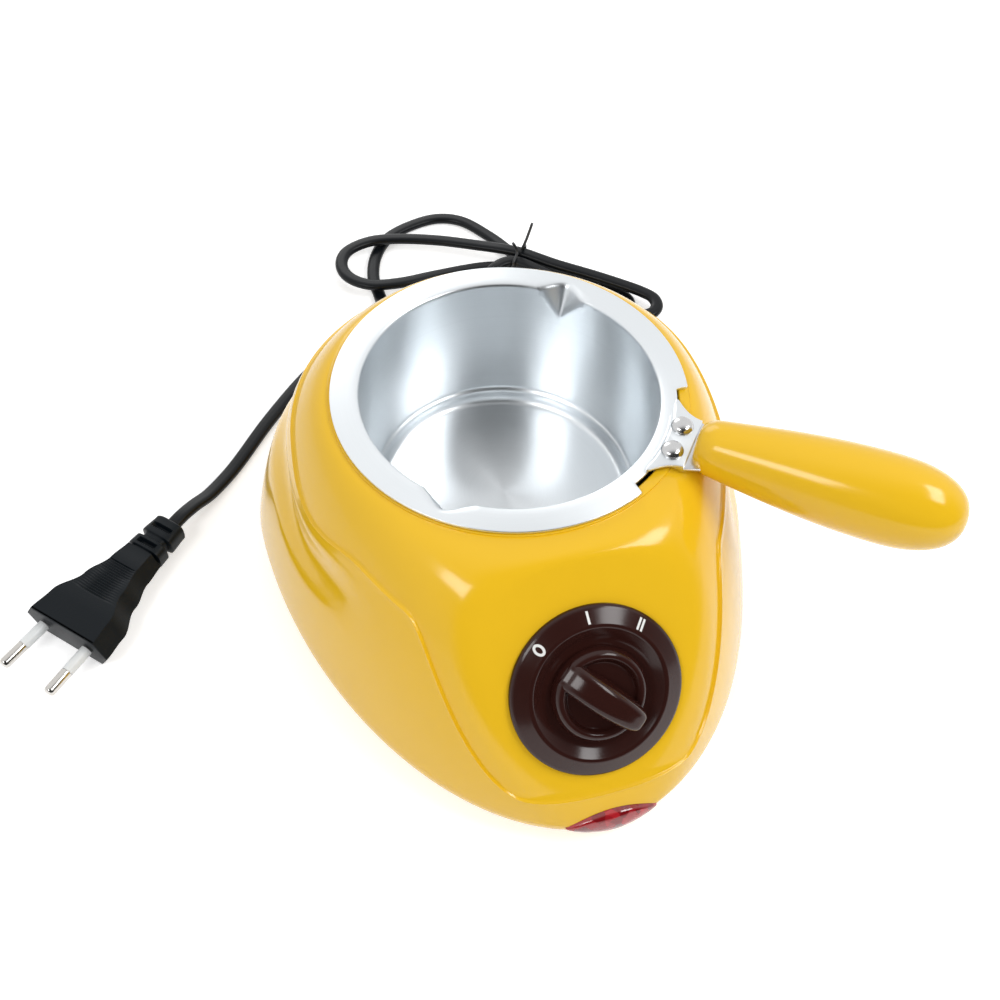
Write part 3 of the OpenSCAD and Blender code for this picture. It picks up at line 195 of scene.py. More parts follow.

# %% [markdown]
# ## Cord
# The mains lead is a limp flat twin cord. It leaves the grommet at the back,
# makes two tied loops behind the body and lies on the table up to the plug. A
# path through listed points keeps its real length, and the cord itself is
# one section with a shallow groove, set ring after ring along that path.

# %% Trace the cord
PLUG_TAIL = Vector((-114.5, 30.7, 6.85))
PLUG_TURN = math.radians(43.3)
PLUG_RISE = [(20, 3.4), (12, 5.7), (5.4, 6.85), (0, 6.85)]
along_plug = Vector((math.cos(PLUG_TURN), math.sin(PLUG_TURN), 0))
cord_points = [Vector(p) for p in (
    (-16, 103.5, 10), (-16, 108.9, 10), (-15.8, 118, 8.4), (-15.4, 124, 5), (-15, 131, 2.3),
    (-15, 137, 1.8), (-15, 148, 1.8), (-11, 161, 1.8), (-3, 172, 1.8), (9, 178, 1.8),
    (22, 180, 1.8), (33, 175, 1.8), (42, 162, 1.8), (47, 151, 2.4), (51, 141.4, 3.2),
    (57, 135.8, 2.6), (64, 130, 1.9), (75, 121, 1.8), (82, 115, 1.8), (86.3, 111, 1.8),
    (88.6, 107.8, 1.8), (88.8, 104.4, 1.8), (87, 101.6, 1.8), (83.8, 100.6, 1.8), (80, 102.2, 1.8),
    (72, 110, 1.8), (64, 119, 1.9), (55, 128.5, 2.6), (47, 136.6, 3.2), (41, 139.6, 2.9),
    (34, 141, 3), (25, 140.5, 3.8), (10, 138.5, 5.2), (-5, 137, 5.9), (-18, 139, 5.9),
    (-26, 146, 5.9), (-27.5, 155, 5.9), (-23, 163, 5.9), (-12, 167, 5.9), (1, 165.5, 5.9),
    (18, 160, 5.9), (34, 152, 6.3), (43, 146.5, 7.1), (51, 141.4, 7.3), (57, 136, 7.3),
    (64, 130, 7), (78, 120, 6.2), (90, 110, 5.9), (95, 105, 5.9), (98, 100.5, 5.9),
    (97.6, 95.3, 5.9), (94, 92, 5.9), (89, 92.3, 5.9), (82, 98.3, 5.9), (74, 107, 5.9),
    (65, 117, 6.2), (55, 128.5, 7), (47.6, 136, 7.3), (42, 137, 7.4), (37, 135, 7.2),
    (30.5, 131.6, 4.8), (20, 127.5, 2), (0, 121.5, 1.8), (-15, 116.5, 1.8), (-30, 112.5, 1.8),
    (-41, 107, 1.8), (-50, 100, 1.8), (-60, 90.5, 1.8), (-74, 75, 1.8), (-86, 60, 1.8),
    (-92.5, 52.4, 2.1),
)]
for back, height in PLUG_RISE:
    place = PLUG_TAIL + along_plug * back
    place.z = height
    cord_points.append(place)


def smooth_path(points, steps):
    path = []
    last = len(points) - 1
    for i in range(last * steps + 1):
        j = min(i // steps, last - 1)
        t = i / steps - j
        p0, p1, p2, p3 = (points[min(max(j + k, 0), last)] for k in (-1, 0, 1, 2))
        path.append(0.5 * (
            2 * p1 + (p2 - p0) * t + (2 * p0 - 5 * p1 + 4 * p2 - p3) * t * t
            + (3 * p1 - 3 * p2 + p3 - p0) * t ** 3
        ) * mm)
    return path


def path_length(path):
    return sum((b - a).length for a, b in zip(path, path[1:]))


cord_path = smooth_path(cord_points, 5)
print("cord length", round(path_length(cord_path), 4), "m in", len(cord_path), "steps")


# %% Helpers for pieces
GROOVE_SHARE = 0.13


def finish_piece(name, form, body, paint, stands_for=(), sharp=35):
    mesh = bpy.data.meshes.new(name)
    form.to_mesh(mesh)
    form.free()
    mesh.shade_smooth()
    mesh.set_sharp_from_angle(angle=math.radians(sharp))
    mesh.materials.append(paint)
    piece = bpy.data.objects.new(name, mesh)
    bpy.context.scene.collection.objects.link(piece)
    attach(piece, body)
    if stands_for:
        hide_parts(*stands_for)
    return piece


def moved(form, matrix):
    bmesh.ops.transform(form, matrix=matrix, verts=form.verts)
    return form


def bevelled(form, edges, offset, segments):
    bmesh.ops.bevel(form, geom=edges, offset=offset * mm, segments=segments, profile=0.5,
                    affect="EDGES", material=-1)
    return form


def oval(width, height, count, groove=0.0, square=2.0):
    points = []
    for k in range(count):
        a = 2 * math.pi * (k + 0.5) / count
        c, s = math.cos(a), math.sin(a)
        r = (abs(c) ** square + abs(s) ** square) ** (-1 / square)
        x, y = c * r * width / 2, s * r * height / 2
        y *= 1 - groove * math.exp(-(x / (width * GROOVE_SHARE)) ** 2)
        points.append((x, y))
    return points


print("helpers ready")

# %% [markdown]
# ## Black rubber and black plastic
# The cord and the plug are black, but never plain black: the rubber is a little
# dusty and has a soft wide gloss. A slow noise changes the roughness and, very
# slightly, the colour. A fine noise gives the grain as bump.


# %% Parts of a finish
def noise(tree, where, scale, detail):
    texture = preset(tree.nodes.new("ShaderNodeTexNoise"), {"Scale": scale, "Detail": detail})
    tree.links.new(where, texture.inputs["Vector"])
    return texture.outputs["Fac"]


def vary_roughness(tree, shader, factor, low, high):
    tone = preset(tree.nodes.new("ShaderNodeMapRange"), {"To Min": low, "To Max": high})
    tree.links.new(factor, tone.inputs["Value"])
    tree.links.new(tone.outputs["Result"], shader.inputs["Roughness"])


def vary_color(tree, shader, factor, first, second):
    mix = tree.nodes.new("ShaderNodeMix")
    mix.data_type = "RGBA"
    preset(mix, {"A": (*first, 1), "B": (*second, 1)})
    tree.links.new(factor, mix.inputs["Factor"])
    tree.links.new(mix.outputs["Result"], shader.inputs["Base Color"])


def add_bump(tree, shader, height, strength, distance):
    bump = preset(tree.nodes.new("ShaderNodeBump"), {"Strength": strength, "Distance": distance})
    tree.links.new(height, bump.inputs["Height"])
    tree.links.new(bump.outputs["Normal"], shader.inputs["Normal"])


print("parts of a finish ready")

# %% Make the dark finishes
BLOTCH_SCALE, GRAIN_DEPTH, COAT_ROUGH = 45, 0.0002, 0.06


def plain_paint(name, color, rough, grain=0.0, grain_size=900.0, metal=0.0, blotch=0.06,
                coat=0.0, vary=0.04, shine=0.5):
    material, tree, shader = shader_tree(name)
    where = tree.nodes.new("ShaderNodeTexCoord").outputs["Object"]
    slow = noise(tree, where, BLOTCH_SCALE, 3)
    vary_roughness(tree, shader, slow, max(rough - blotch, 0.02), min(rough + blotch, 1))
    vary_color(tree, shader, slow, [c * (1 - vary) for c in color],
               [min(c * (1 + vary), 1) for c in color])
    preset(shader, {"Metallic": metal, "Specular IOR Level": shine,
                    "Coat Weight": coat, "Coat Roughness": COAT_ROUGH})
    if grain:
        add_bump(tree, shader, noise(tree, where, grain_size, 4), grain, GRAIN_DEPTH)
    return material


cord_paint = plain_paint("black_rubber", (0.003, 0.0042, 0.006), 0.34, grain=0.06, shine=0.24)
plug_paint = plain_paint("black_plastic", (0.004, 0.0065, 0.009), 0.42, grain=0.2,
                         grain_size=1800, shine=0.16)
print("dark finishes:", cord_paint.name, plug_paint.name)

# %% [markdown]
# ## A grid that is rolled up
# A tube, a ring or a whole moulded skin is a flat grid that has been rolled up.
# So each long piece starts as a flat grid from Blender. Every vertex of it then
# moves to its place on the piece, and the edges that meet are welded.


# %% Roll a grid
WELD_REACH = 2e-7


def rolled(across, along, place):
    form = bmesh.new()
    grid = bmesh.ops.create_grid(form, x_segments=across, y_segments=along, size=0.5)
    for vert in grid["verts"]:
        i = round((vert.co.x + 0.5) * across)
        j = round((vert.co.y + 0.5) * along)
        vert.co = Vector(place(i % across, j)) * mm
    return form


def welded(form, fill=False):
    bmesh.ops.remove_doubles(form, verts=form.verts, dist=WELD_REACH)
    if fill:
        bmesh.ops.holes_fill(form, edges=form.edges, sides=0)
    bmesh.ops.recalc_face_normals(form, faces=form.faces)
    return form


def tube(path, section, level=Vector((0, 0, 1)), ends=(None, None)):
    frames = []
    for i, centre in enumerate(path):
        ahead = (path[min(i + 1, len(path) - 1)] - path[max(i - 1, 0)]).normalized()
        if i == 0 and ends[0] is not None:
            ahead = ends[0]
        if i == len(path) - 1 and ends[1] is not None:
            ahead = ends[1]
        side = ahead.cross(level).normalized()
        frames.append((centre / mm, side, side.cross(ahead)))

    def place(k, i):
        centre, side, high = frames[i]
        return centre + side * section[k][0] + high * section[k][1]

    return welded(rolled(len(section), len(path) - 1, place), fill=True)


print("grid helpers ready")

# %% Make the cord
CORD_WIDTH, CORD_THICK = 5.4, 3.4
cord_section = oval(CORD_WIDTH, CORD_THICK, 20, groove=0.1, square=2.5)
cord_form = tube(cord_path, cord_section, ends=(Vector((0, 1, 0)), -along_plug))
cord = finish_piece("mains_cord", cord_form, "base", cord_paint,
                    ("cord_lead", "cord_hank", "cord_run"))
print("cord faces", len(cord.data.polygons))

# %% [markdown]
# ## Turned shapes
# Dial ring, knob disc, rivets, handle, pins and strain relief are round, so each
# is a profile that is spun. A real moulded or drawn piece has no knife-sharp
# corner, so each corner of a profile is written as radius, height and rounding,
# and `soften` rounds it by that much before the spin.

# %% Spin a softened profile
FILLET_SHARE = 0.48


def soften(corners, steps=4):
    line = []
    for i, (r, z, fillet) in enumerate(corners):
        here = Vector((r, z))
        if fillet <= 0 or i in (0, len(corners) - 1):
            line.append(here)
            continue
        back = Vector(corners[i - 1][:2]) - here
        on = Vector(corners[i + 1][:2]) - here
        a = here + back.normalized() * min(fillet, back.length * FILLET_SHARE)
        b = here + on.normalized() * min(fillet, on.length * FILLET_SHARE)
        for k in range(steps + 1):
            t = k / steps
            line.append(a * (1 - t) ** 2 + here * 2 * t * (1 - t) + b * t * t)
    return line


def spun(line, steps=128, close=False):
    form = bmesh.new()
    verts = [form.verts.new((p[0] * mm, 0, p[1] * mm)) for p in line]
    pairs = list(zip(verts, verts[1:])) + ([(verts[-1], verts[0])] if close else [])
    edges = [form.edges.new(pair) for pair in pairs]
    bmesh.ops.spin(form, geom=verts + edges, cent=(0, 0, 0), axis=(0, 0, 1),
                   angle=2 * math.pi, steps=steps, use_merge=True)
    return welded(form)


def joined(*forms):
    whole = bmesh.new()
    for form in forms:
        part = bpy.data.meshes.new("part")
        form.to_mesh(part)
        form.free()
        whole.from_mesh(part)
        bpy.data.meshes.remove(part)
    return whole


print("spin ready")

# %% Places of the dial, the handle and the plug
LEAN = math.radians(39.75)
PANEL_OUT, PANEL_UP = 90.9, 46.3
HANDLE_TURN = -38.8
PLUG_LENGTH = 53.5
to_panel = (Matrix.Translation(Vector((0, -PANEL_OUT, PANEL_UP)) * mm)
            @ Matrix.Rotation(math.pi / 2 - LEAN, 4, "X"))
to_handle = Matrix.Rotation(math.radians(HANDLE_TURN), 4, "Z")
to_plug = (Matrix.Translation((PLUG_TAIL - along_plug * PLUG_LENGTH) * mm)
           @ Matrix.Rotation(PLUG_TURN, 4, "Z"))
print("panel, handle and plug places ready")

# %% [markdown]
# ## Body
# The body is one glossy moulding: a drop-shaped skirt, a crease that climbs from
# the front to the sides, a flat leaning panel for the dial, and a round ring for
# the pot. It is measured with the same rules as the exact model, in many more
# steps, so that the gloss runs over it without facets. In the rules `a` is the
# angle round the pot in degrees, `rb` the reach of the plan at that angle, `z`
# the height, and `cut` what comes off for the inner side of the wall.

# %% Body sizes and blends
HALF_W, FRONT, REAR, MID_Y = 84, 118, 81.5, 15.5
RING_Z, RING_R, BULGE, TUCK, WALL, RIM = 78.7, 56.5, 11.8, 6.5, 2.4, 0.8
TOP, HOLE_R, STEP = 78.2, 52.9, 0.9
INNER_TOP = TOP - WALL
PANEL_D = math.cos(LEAN) * PANEL_OUT + math.sin(LEAN) * PANEL_UP
FRONT_POWER, REAR_POWER = 1.89, 2
SIDE_POWER, FRONT_FULLER, RISE_POWER = 1.72, 0.68, 1.17
HALVINGS = 24


def ease(t):
    t = min(max(t, 0), 1)
    return t * t * (3 - 2 * t)


def hump(t):
    return math.cos(math.pi / 2 * t) ** 2 if abs(t) < 1 else 0


def smaller(a, b, k=5):
    h = max(k - abs(a - b), 0) / k
    return min(a, b) - h * h * k / 4


def from_front(a):
    return abs((a + 270) % 360 - 180)


print("panel lies", round(PANEL_D, 1), "mm from the pot's foot")


# %% Outline from above and reach at each height
def plan_r(a, cut=0.0):
    lo, hi = 0, 2 * FRONT
    c, s = math.cos(math.radians(a)), math.sin(math.radians(a))
    for _ in range(HALVINGS):
        m = (lo + hi) / 2
        d = m * s - MID_Y
        n, l = (FRONT_POWER, FRONT + MID_Y) if d < 0 else (REAR_POWER, REAR - MID_Y)
        inside = (abs(m * c) / (HALF_W - cut)) ** n + (abs(d) / (l - cut)) ** n < 1
        lo, hi = (m, hi) if inside else (lo, m)
    return (lo + hi) / 2


def panel_reach(a, z, cut):
    s = -math.sin(math.radians(a))
    if s < 0.05:
        return 4 * FRONT
    return (PANEL_D - cut - math.sin(LEAN) * z) / (math.cos(LEAN) * s)


def side_reach(a, rb, z, cut):
    if z < BULGE:
        return rb - TUCK * (1 - z / BULGE) ** 2
    r0 = RING_R - cut
    p = SIDE_POWER + FRONT_FULLER * (1 - ease((from_front(a) - 20) / 40))
    u = min(max((z - BULGE) / (TOP - cut - BULGE), 0), 1)
    return r0 + (rb - r0) * (1 - u ** RISE_POWER) ** (1 / p)


def body_reach(a, rb, z, cut):
    return smaller(side_reach(a, rb, z, cut), panel_reach(a, z, cut))


print("plan reaches", round(plan_r(-90), 1), "mm to the front,", round(plan_r(0), 1), "to the side")


# %% Crease, waist and skirt
def crease_z(a):
    t = from_front(a)
    climb, dip = 41.5 * ease((t - 13) / 26), 4 * hump((t - 75) / 22)
    return 21.5 + climb - dip + 5 * ease((t - 85) / 30)


def waist(a, z):
    return 2.6 * ease((from_front(a) - 45) / 25) * hump((z - crease_z(a) + 13) / 11)


def skirt_reach(a, rb, z):
    zc = crease_z(a)
    lift = side_reach(a, rb, zc, 0) - body_reach(a, rb, zc, 0) - STEP
    return side_reach(a, rb, z, 0) - lift * max((z - BULGE) / (zc - BULGE), 0) - waist(a, z)


def skin_reach(a, rb, z):
    return skirt_reach(a, rb, z) if z < crease_z(a) else body_reach(a, rb, z, 0)


def skin_height(a, rb, r):
    lo, hi = BULGE, TOP
    for _ in range(HALVINGS):
        m = (lo + hi) / 2
        lo, hi = (m, hi) if skin_reach(a, rb, m) > r else (lo, m)
    return lo


print("crease climbs from", round(crease_z(-90), 1), "to", round(crease_z(90), 1), "mm")

# %% Body skin
COLUMNS, UP_ROWS, LOW_ROWS, IN_ROWS = 360, 44, 34, 16
MOUTH_LOW = RING_Z - 15
STEP_ROWS = [(0.08, 0.08), (0.45, -0.02), (0.8, -0.05), (0.96, -0.16)]


def skin_column(a):
    rb, ri, zc = plan_r(a), plan_r(a, WALL), crease_z(a)
    upper = body_reach(a, rb, zc, 0)
    foot = skirt_reach(a, rb, zc - STEP / 2)
    rows = [(HOLE_R, MOUTH_LOW), (HOLE_R, RING_Z - 6), (HOLE_R, RING_Z - 1)]
    rows += [(HOLE_R + 1 - math.cos(t), RING_Z - 1 + math.sin(t)) for t in (0.5, 1.05)]
    rows += [(HOLE_R + 1, RING_Z), (HOLE_R + 2.4, RING_Z), (RING_R - 0.4, RING_Z),
             (RING_R - 0.12, RING_Z - 0.08), (RING_R, RING_Z - 0.3)]
    for i in range(UP_ROWS + 1):
        z = TOP - (TOP - zc - 0.25) * (1 - math.cos(math.pi / 2 * i / UP_ROWS))
        rows.append((body_reach(a, rb, z, 0), z))
    rows += [(upper + share * (foot - upper), zc + rise) for share, rise in STEP_ROWS]
    for i in range(LOW_ROWS + 1):
        z = (zc - STEP / 2) + (RIM + 0.35 - zc + STEP / 2) * i / LOW_ROWS
        rows.append((skirt_reach(a, rb, z), z))
    low = skirt_reach(a, rb, RIM)
    rows += [(low - 0.12, RIM + 0.1), (low - 0.4, RIM)]
    rows += [(body_reach(a, ri, z, WALL), z) for z in (RIM, 4, 8)]
    for i in range(IN_ROWS + 1):
        z = BULGE + (INNER_TOP - BULGE) * math.sin(math.pi / 2 * i / IN_ROWS)
        rows.append((body_reach(a, ri, z, WALL) - 0.9 * waist(a, z), z))
    rows += [(HOLE_R + 2, INNER_TOP), (HOLE_R + 2, MOUTH_LOW), (HOLE_R, MOUTH_LOW)]
    return rows


skin = [skin_column(-90 + 360 * i / COLUMNS) for i in range(COLUMNS)]


def skin_place(i, j):
    a = math.radians(-90 + 360 * i / COLUMNS)
    r, z = skin[i][j]
    return r * math.cos(a), r * math.sin(a), z


body_form = welded(rolled(COLUMNS, len(skin[0]) - 1, skin_place))
open_edges = sum(e.is_boundary for e in body_form.edges)
print("body skin", len(body_form.faces), "faces, open edges", open_edges)

# %% [markdown]
# ## Openings of the body
# The dial's neck, the pilot light and the cord go through the wall, and the ring
# has a shallow seat under the handle's rivets. These are cut with one Boolean,
# because a clean cut edge matters more here than a tidy grid.

# %% Lens outline and the cutters
LENS_HALF_W, LENS_HALF_H, LENS_Z, LENS_RAKE = 14.6, 5.3, 11.2, 1.6
LENS_COLUMNS = 96


def front_line(x):
    share = (1 - (abs(x) / HALF_W) ** FRONT_POWER) ** (1 / FRONT_POWER)
    return MID_Y - (FRONT + MID_Y) * share


def eye(profile, grow=0.0):
    h, w = LENS_HALF_H + grow, LENS_HALF_W + grow
    arc = (w * w + h * h) / (2 * h)

    def place(i, j):
        a = 2 * math.pi * i / LENS_COLUMNS
        rho, stand = profile[j]
        x = w * math.cos(a)
        high = math.copysign(math.sqrt(arc * arc - x * x) - arc + h, math.sin(a)) * rho
        rake = LENS_RAKE * (high / LENS_HALF_H) ** 2
        return rho * x, front_line(rho * x) + rake - stand, LENS_Z + high

    return welded(rolled(LENS_COLUMNS, len(profile) - 1, place))


def drum(radius, depth, segments=64):
    form = bmesh.new()
    bmesh.ops.create_cone(form, cap_ends=True, segments=segments, radius1=radius * mm,
                          radius2=radius * mm, depth=depth * mm)
    return form


def block(size, centre, edge):
    form = bmesh.new()
    bmesh.ops.create_cube(form, size=mm)
    bmesh.ops.scale(form, vec=Vector(size), verts=form.verts)
    bevelled(form, form.edges, edge, 3)
    bmesh.ops.translate(form, vec=Vector(centre) * mm, verts=form.verts)
    return form


to_exit = Matrix.Translation(Vector((-16, 80, 10)) * mm) @ Matrix.Rotation(math.pi / 2, 4, "X")
dial_hole = moved(drum(17.15, 20), to_panel)
cord_hole = moved(drum(4.65, 14, 32), to_exit)
seat = moved(block((7.8, 16.8, 4.8), (53.9, 0, 79.85), 0.4), to_handle)
lens_hole = eye([(0, 3), (0.6, 3), (1, 3), (1, -6), (0.6, -6), (0, -6)], 0.12)
cutter_form = joined(dial_hole, cord_hole, seat, lens_hole)
print("cutter faces", len(cutter_form.faces))


# %% Cut them and finish the body
def carved(name, form, cutter_form):
    mesh = bpy.data.meshes.new(name)
    form.to_mesh(mesh)
    form.free()
    cutter_mesh = bpy.data.meshes.new("cutter")
    cutter_form.to_mesh(cutter_mesh)
    cutter_form.free()
    whole = bpy.data.objects.new(name, mesh)
    cutter = bpy.data.objects.new("cutter", cutter_mesh)
    for thing in (whole, cutter):
        bpy.context.scene.collection.objects.link(thing)
    cut = whole.modifiers.new("openings", "BOOLEAN")
    cut.object = cutter
    cut.operation = "DIFFERENCE"
    cut.solver = "EXACT"
    bpy.context.view_layer.update()
    seen = whole.evaluated_get(bpy.context.evaluated_depsgraph_get())
    made = bpy.data.meshes.new_from_object(seen)
    bpy.data.objects.remove(whole)
    bpy.data.objects.remove(cutter)
    result = bmesh.new()
    result.from_mesh(made)
    bpy.data.meshes.remove(made)
    return result


yellow_paint = plain_paint("yellow_gloss", (0.87, 0.52, 0.014), 0.16, grain=0.03, grain_size=260,
                           blotch=0.03, coat=0.1, vary=0.015, shine=0.38)
body_form = carved("body_shell", body_form, cutter_form)
body = finish_piece("body_shell", body_form, "base", yellow_paint,
                    ("upper_shell",), sharp=30)
print("body", len(body.data.polygons), "faces")

# %% [markdown]
# ## Dial ring
# The dial ring is dark brown gloss plastic: a wide sloping band that carries the
# marks, a raised lip, and a dish in which the knob turns.

# %% Dial ring
brown_paint = plain_paint("brown_gloss", (0.030, 0.0085, 0.0065), 0.16, grain=0.03, grain_size=400,
                          blotch=0.04, vary=0.05, shine=0.34)
dial_line = soften([
    (5.2, 0.05, 0), (15, 0.05, 0), (15, -5, 0.3), (17, -5, 0.3), (17, 0.05, 0), (26.2, 0.05, 0.15),
    (26.2, 1.2, 0.5), (25.5, 1.9, 0.6), (21.6, 3.75, 0.8), (20.9, 4.1, 0.5), (20.1, 4.1, 0.5),
    (19.3, 3.6, 0.5), (16.2, 1.8, 1.2), (5.2, 1.8, 0),
], 5)
dial_form = moved(spun(dial_line, 160, close=True), to_panel)
dial = finish_piece("dial_ring", dial_form, "base", brown_paint,
                    ("dial_bezel",), sharp=50)
print("dial ring", len(dial.data.polygons), "faces")

# %% Marks on the dial
BAND_R, BAND_WIDTH, BAND_LOW, BAND_RISE = 25.5, 3.9, 1.9, 1.85
MARK_LIFT, MARK_STROKE, BAR_LENGTH, BAR_R = 0.05, 0.74, 3.5, 23.2


def band_height(r):
    return BAND_LOW + (BAND_R - r) / BAND_WIDTH * BAND_RISE


def wrap_on_band(form, angle, radius):
    for vert in form.verts:
        x, y, z = vert.co / mm
        a = math.radians(90 - angle)
        outward, sideways = Vector((math.cos(a), math.sin(a))), Vector((math.sin(a), -math.cos(a)))
        spot = outward * (radius + y) + sideways * x
        vert.co = Vector((spot.x, spot.y, band_height(spot.length) + z)) * mm
    return moved(form, to_panel)


def bar(x):
    form = bmesh.new()
    bmesh.ops.create_grid(form, x_segments=1, y_segments=8, size=0.5)
    bmesh.ops.scale(form, vec=Vector((MARK_STROKE, BAR_LENGTH, 1)) * mm, verts=form.verts)
    bmesh.ops.translate(form, vec=Vector((x, 0, MARK_LIFT)) * mm, verts=form.verts)
    return form


def zero():
    form = bmesh.new()
    inner = bmesh.ops.create_circle(form, segments=40, radius=mm)["verts"]
    bmesh.ops.scale(form, vec=Vector((0.74, 1.1, 1)), verts=inner)
    made = bmesh.ops.extrude_edge_only(form, edges=form.edges[:])["geom"]
    outer = [v for v in made if isinstance(v, bmesh.types.BMVert)]
    bmesh.ops.scale(form, vec=Vector((2.05, 1.68, 1)), verts=outer)
    bmesh.ops.translate(form, vec=Vector((0, 0, MARK_LIFT)) * mm, verts=form.verts)
    return form


print_paint = plain_paint("white_print", (0.8, 0.8, 0.78), 0.5, grain=0.1)
mark_form = joined(wrap_on_band(zero(), -42, 23.1), wrap_on_band(bar(0), 0, BAR_R),
                   wrap_on_band(bar(-0.62), 41, BAR_R), wrap_on_band(bar(0.62), 41, BAR_R))
for face in mark_form.faces:
    face.normal_update()
    if face.normal.y > 0:
        face.normal_flip()
marks = finish_piece("dial_marks", mark_form, "base", print_paint)
print("marks", len(marks.data.polygons), "faces")

# %% [markdown]
# ## Knob
# The knob is a shallow disc with a raised rim and a sunken face. A grip bar runs
# across it from a low tail to a blunt nose, growing wider and higher.

# %% Knob disc and grip
GRIP_COLUMNS, GRIP_FOOT, GRIP_TURN = 28, 2.9, 45.5
knob_disc = spun(soften([
    (0, 2.1, 0), (14.1, 2.1, 0.2), (14.4, 2.5, 0.3), (14.3, 4, 1.2), (13.2, 6.1, 1.1),
    (11.8, 6.5, 0.6), (10.9, 5.9, 0.6), (10.2, 4.5, 0.6), (0, 4.3, 0),
], 5), 128)
grip_rows = smooth_path([Vector(p) for p in (
    (-13.6, 5, 4), (-13.3, 5.9, 4.3), (-12.2, 6.7, 4.5), (-10.5, 8.2, 4.7), (-7.5, 9.9, 4.9),
    (-3.5, 11.4, 5.1), (0.5, 12.3, 5.15), (4.5, 12.6, 5), (8.5, 12.4, 4.6), (11, 11.9, 4.15),
    (12.6, 11.2, 3.6), (13.3, 10.3, 2.8), (13.65, 9.6, 1.8), (13.75, 9, 0.2),
)], 4)
grip_form = bmesh.new()
last = len(grip_rows) - 1
grid = bmesh.ops.create_grid(grip_form, x_segments=GRIP_COLUMNS, y_segments=last, size=0.5)
for vert in grid["verts"]:
    s, high, half = grip_rows[round((vert.co.y + 0.5) * last)] / mm
    turn = math.pi * (vert.co.x + 0.5)
    c, v = math.cos(turn), math.sin(turn)
    r = (abs(c) ** 4 + v ** 4) ** (-1 / 4)
    skirt = half * (0.94 + 0.06 * max(1 - v * r, 0) ** 2)
    vert.co = Vector((c * r * skirt, -s, GRIP_FOOT + (high - GRIP_FOOT) * v * r)) * mm
grip_form = moved(welded(grip_form, fill=True), Matrix.Rotation(math.radians(GRIP_TURN), 4, "Z"))
knob_form = moved(joined(knob_disc, grip_form), to_panel)
knob = finish_piece("knob_turned", knob_form, "knob", brown_paint,
                    ("knob",), sharp=50)
print("knob", len(knob.data.polygons), "faces")

# %% [markdown]
# ## Pot
# The pot is drawn from aluminium sheet: a tall wall, a rounded step at the floor,
# a flat flange and two pouring lips pressed out of the wall. It is one grid
# rolled round the axis. Columns are set closer at the notches beside the handle,
# and the lips are pushed out of the wall as the press does it.

# %% Profile and columns of the pot
LIPS = (51.3, -128.7)
FLANGE_TOP, LIP_R, LIP_DEPTH, LIP_HALF, LIP_OUT = 80, 47, 10.5, 8.6, 4.8
NOTCH_FROM, NOTCH_TO, NOTCH_R, NOTCH_CUT = 23.2, 24.6, 50, 3.7
NOTCH_TURNS = (23.2, 23.8, 24.15, 24.35, 24.5, 24.6)
pot_line = soften([
    (0, 26, 0), (42.1, 26, 1), (44.3, 27.6, 1.2), (44.5, 31.2, 0.8), (46.0, 32.4, 0.8),
    (48, 78.2, 1), (48.8, 79, 0.6), (49.6, 79, 0), (56, 79, 0.3), (56, 80, 0.3), (50.4, 80, 0),
    (48.6, 80, 0), (47, 79.6, 1.4), (46.95, 77, 0), (46.7, 72, 0), (46.3, 64, 0), (45.9, 54, 0),
    (45.4, 43, 0), (45.0, 32.5, 0.9), (43.5, 31.5, 1.0), (43.3, 28.7, 1.2), (41.6, 27, 1.3),
    (30, 27, 0), (0, 27, 0),
], 5)
dense = []
for a, b in zip(pot_line, pot_line[1:]):
    wall = a.x > 46 and b.x > 46 and max(a.y, b.y) > 60 and abs(a.y - b.y) > 2
    count = 9 if wall else 1
    dense += [a.lerp(b, k / count) for k in range(count)]
pot_line = dense + [pot_line[-1]]
pot_turns = [i * 0.75 for i in range(480)]
pot_turns += [(HANDLE_TURN + s * d) % 360 for s in (-1, 1) for d in NOTCH_TURNS]
pot_turns = sorted(set(round(t, 4) for t in pot_turns))
print("pot profile", len(pot_line), "rows,", len(pot_turns), "columns")


# %% Pot skin
def apart(a, b):
    return (a - b + 180) % 360 - 180


def lip_push(turn, z):
    depth = (FLANGE_TOP - z) / LIP_DEPTH
    if depth >= 1:
        return 0
    most = 0
    for lip in LIPS:
        side = LIP_R * math.radians(apart(turn, lip))
        t = abs(side) / (LIP_HALF * (1 - depth) + 0.01)
        if t < 1:
            shape = 0.4 * (1 - math.hypot(t, 0.2) + 0.2) + 0.6 * hump(t)
            most = max(most, LIP_OUT * (1 - depth) * shape)
    return most


def pot_place(i, j):
    turn, (r, z) = pot_turns[i], pot_line[j]
    if r > 44:
        push = lip_push(turn, z)
        r += push * (min(max((56 - r) / 8.4, 0), 1) if z > 78.5 else 1)
    off = abs(apart(turn, HANDLE_TURN))
    if off < NOTCH_TO and z > 78.5 and r > NOTCH_R:
        cut = NOTCH_CUT * (1 - ease((off - NOTCH_FROM) / 1.4))
        r = NOTCH_R + (r - NOTCH_R) * (6 - cut) / 6
    a = math.radians(turn)
    return r * math.cos(a), r * math.sin(a), z


pot_form = welded(rolled(len(pot_turns), len(pot_line) - 1, pot_place))
open_edges = sum(e.is_boundary for e in pot_form.edges)
print("pot", len(pot_form.faces), "faces, open edges", open_edges)

# %% [markdown]
# ## Aluminium
# Spun and brushed metal has fine lines that run round the axis. They stretch each
# reflection across the lines, into the light and dark sectors that the bowl
# shows. The lines are a noise that is stretched along the angle, and the shader
# is anisotropic, with its rotation turned by a quarter.

# %% Metals
LINE_SCALE, LINE_DEPTH, LINE_STRENGTH = 2600, 0.0001, 0.1


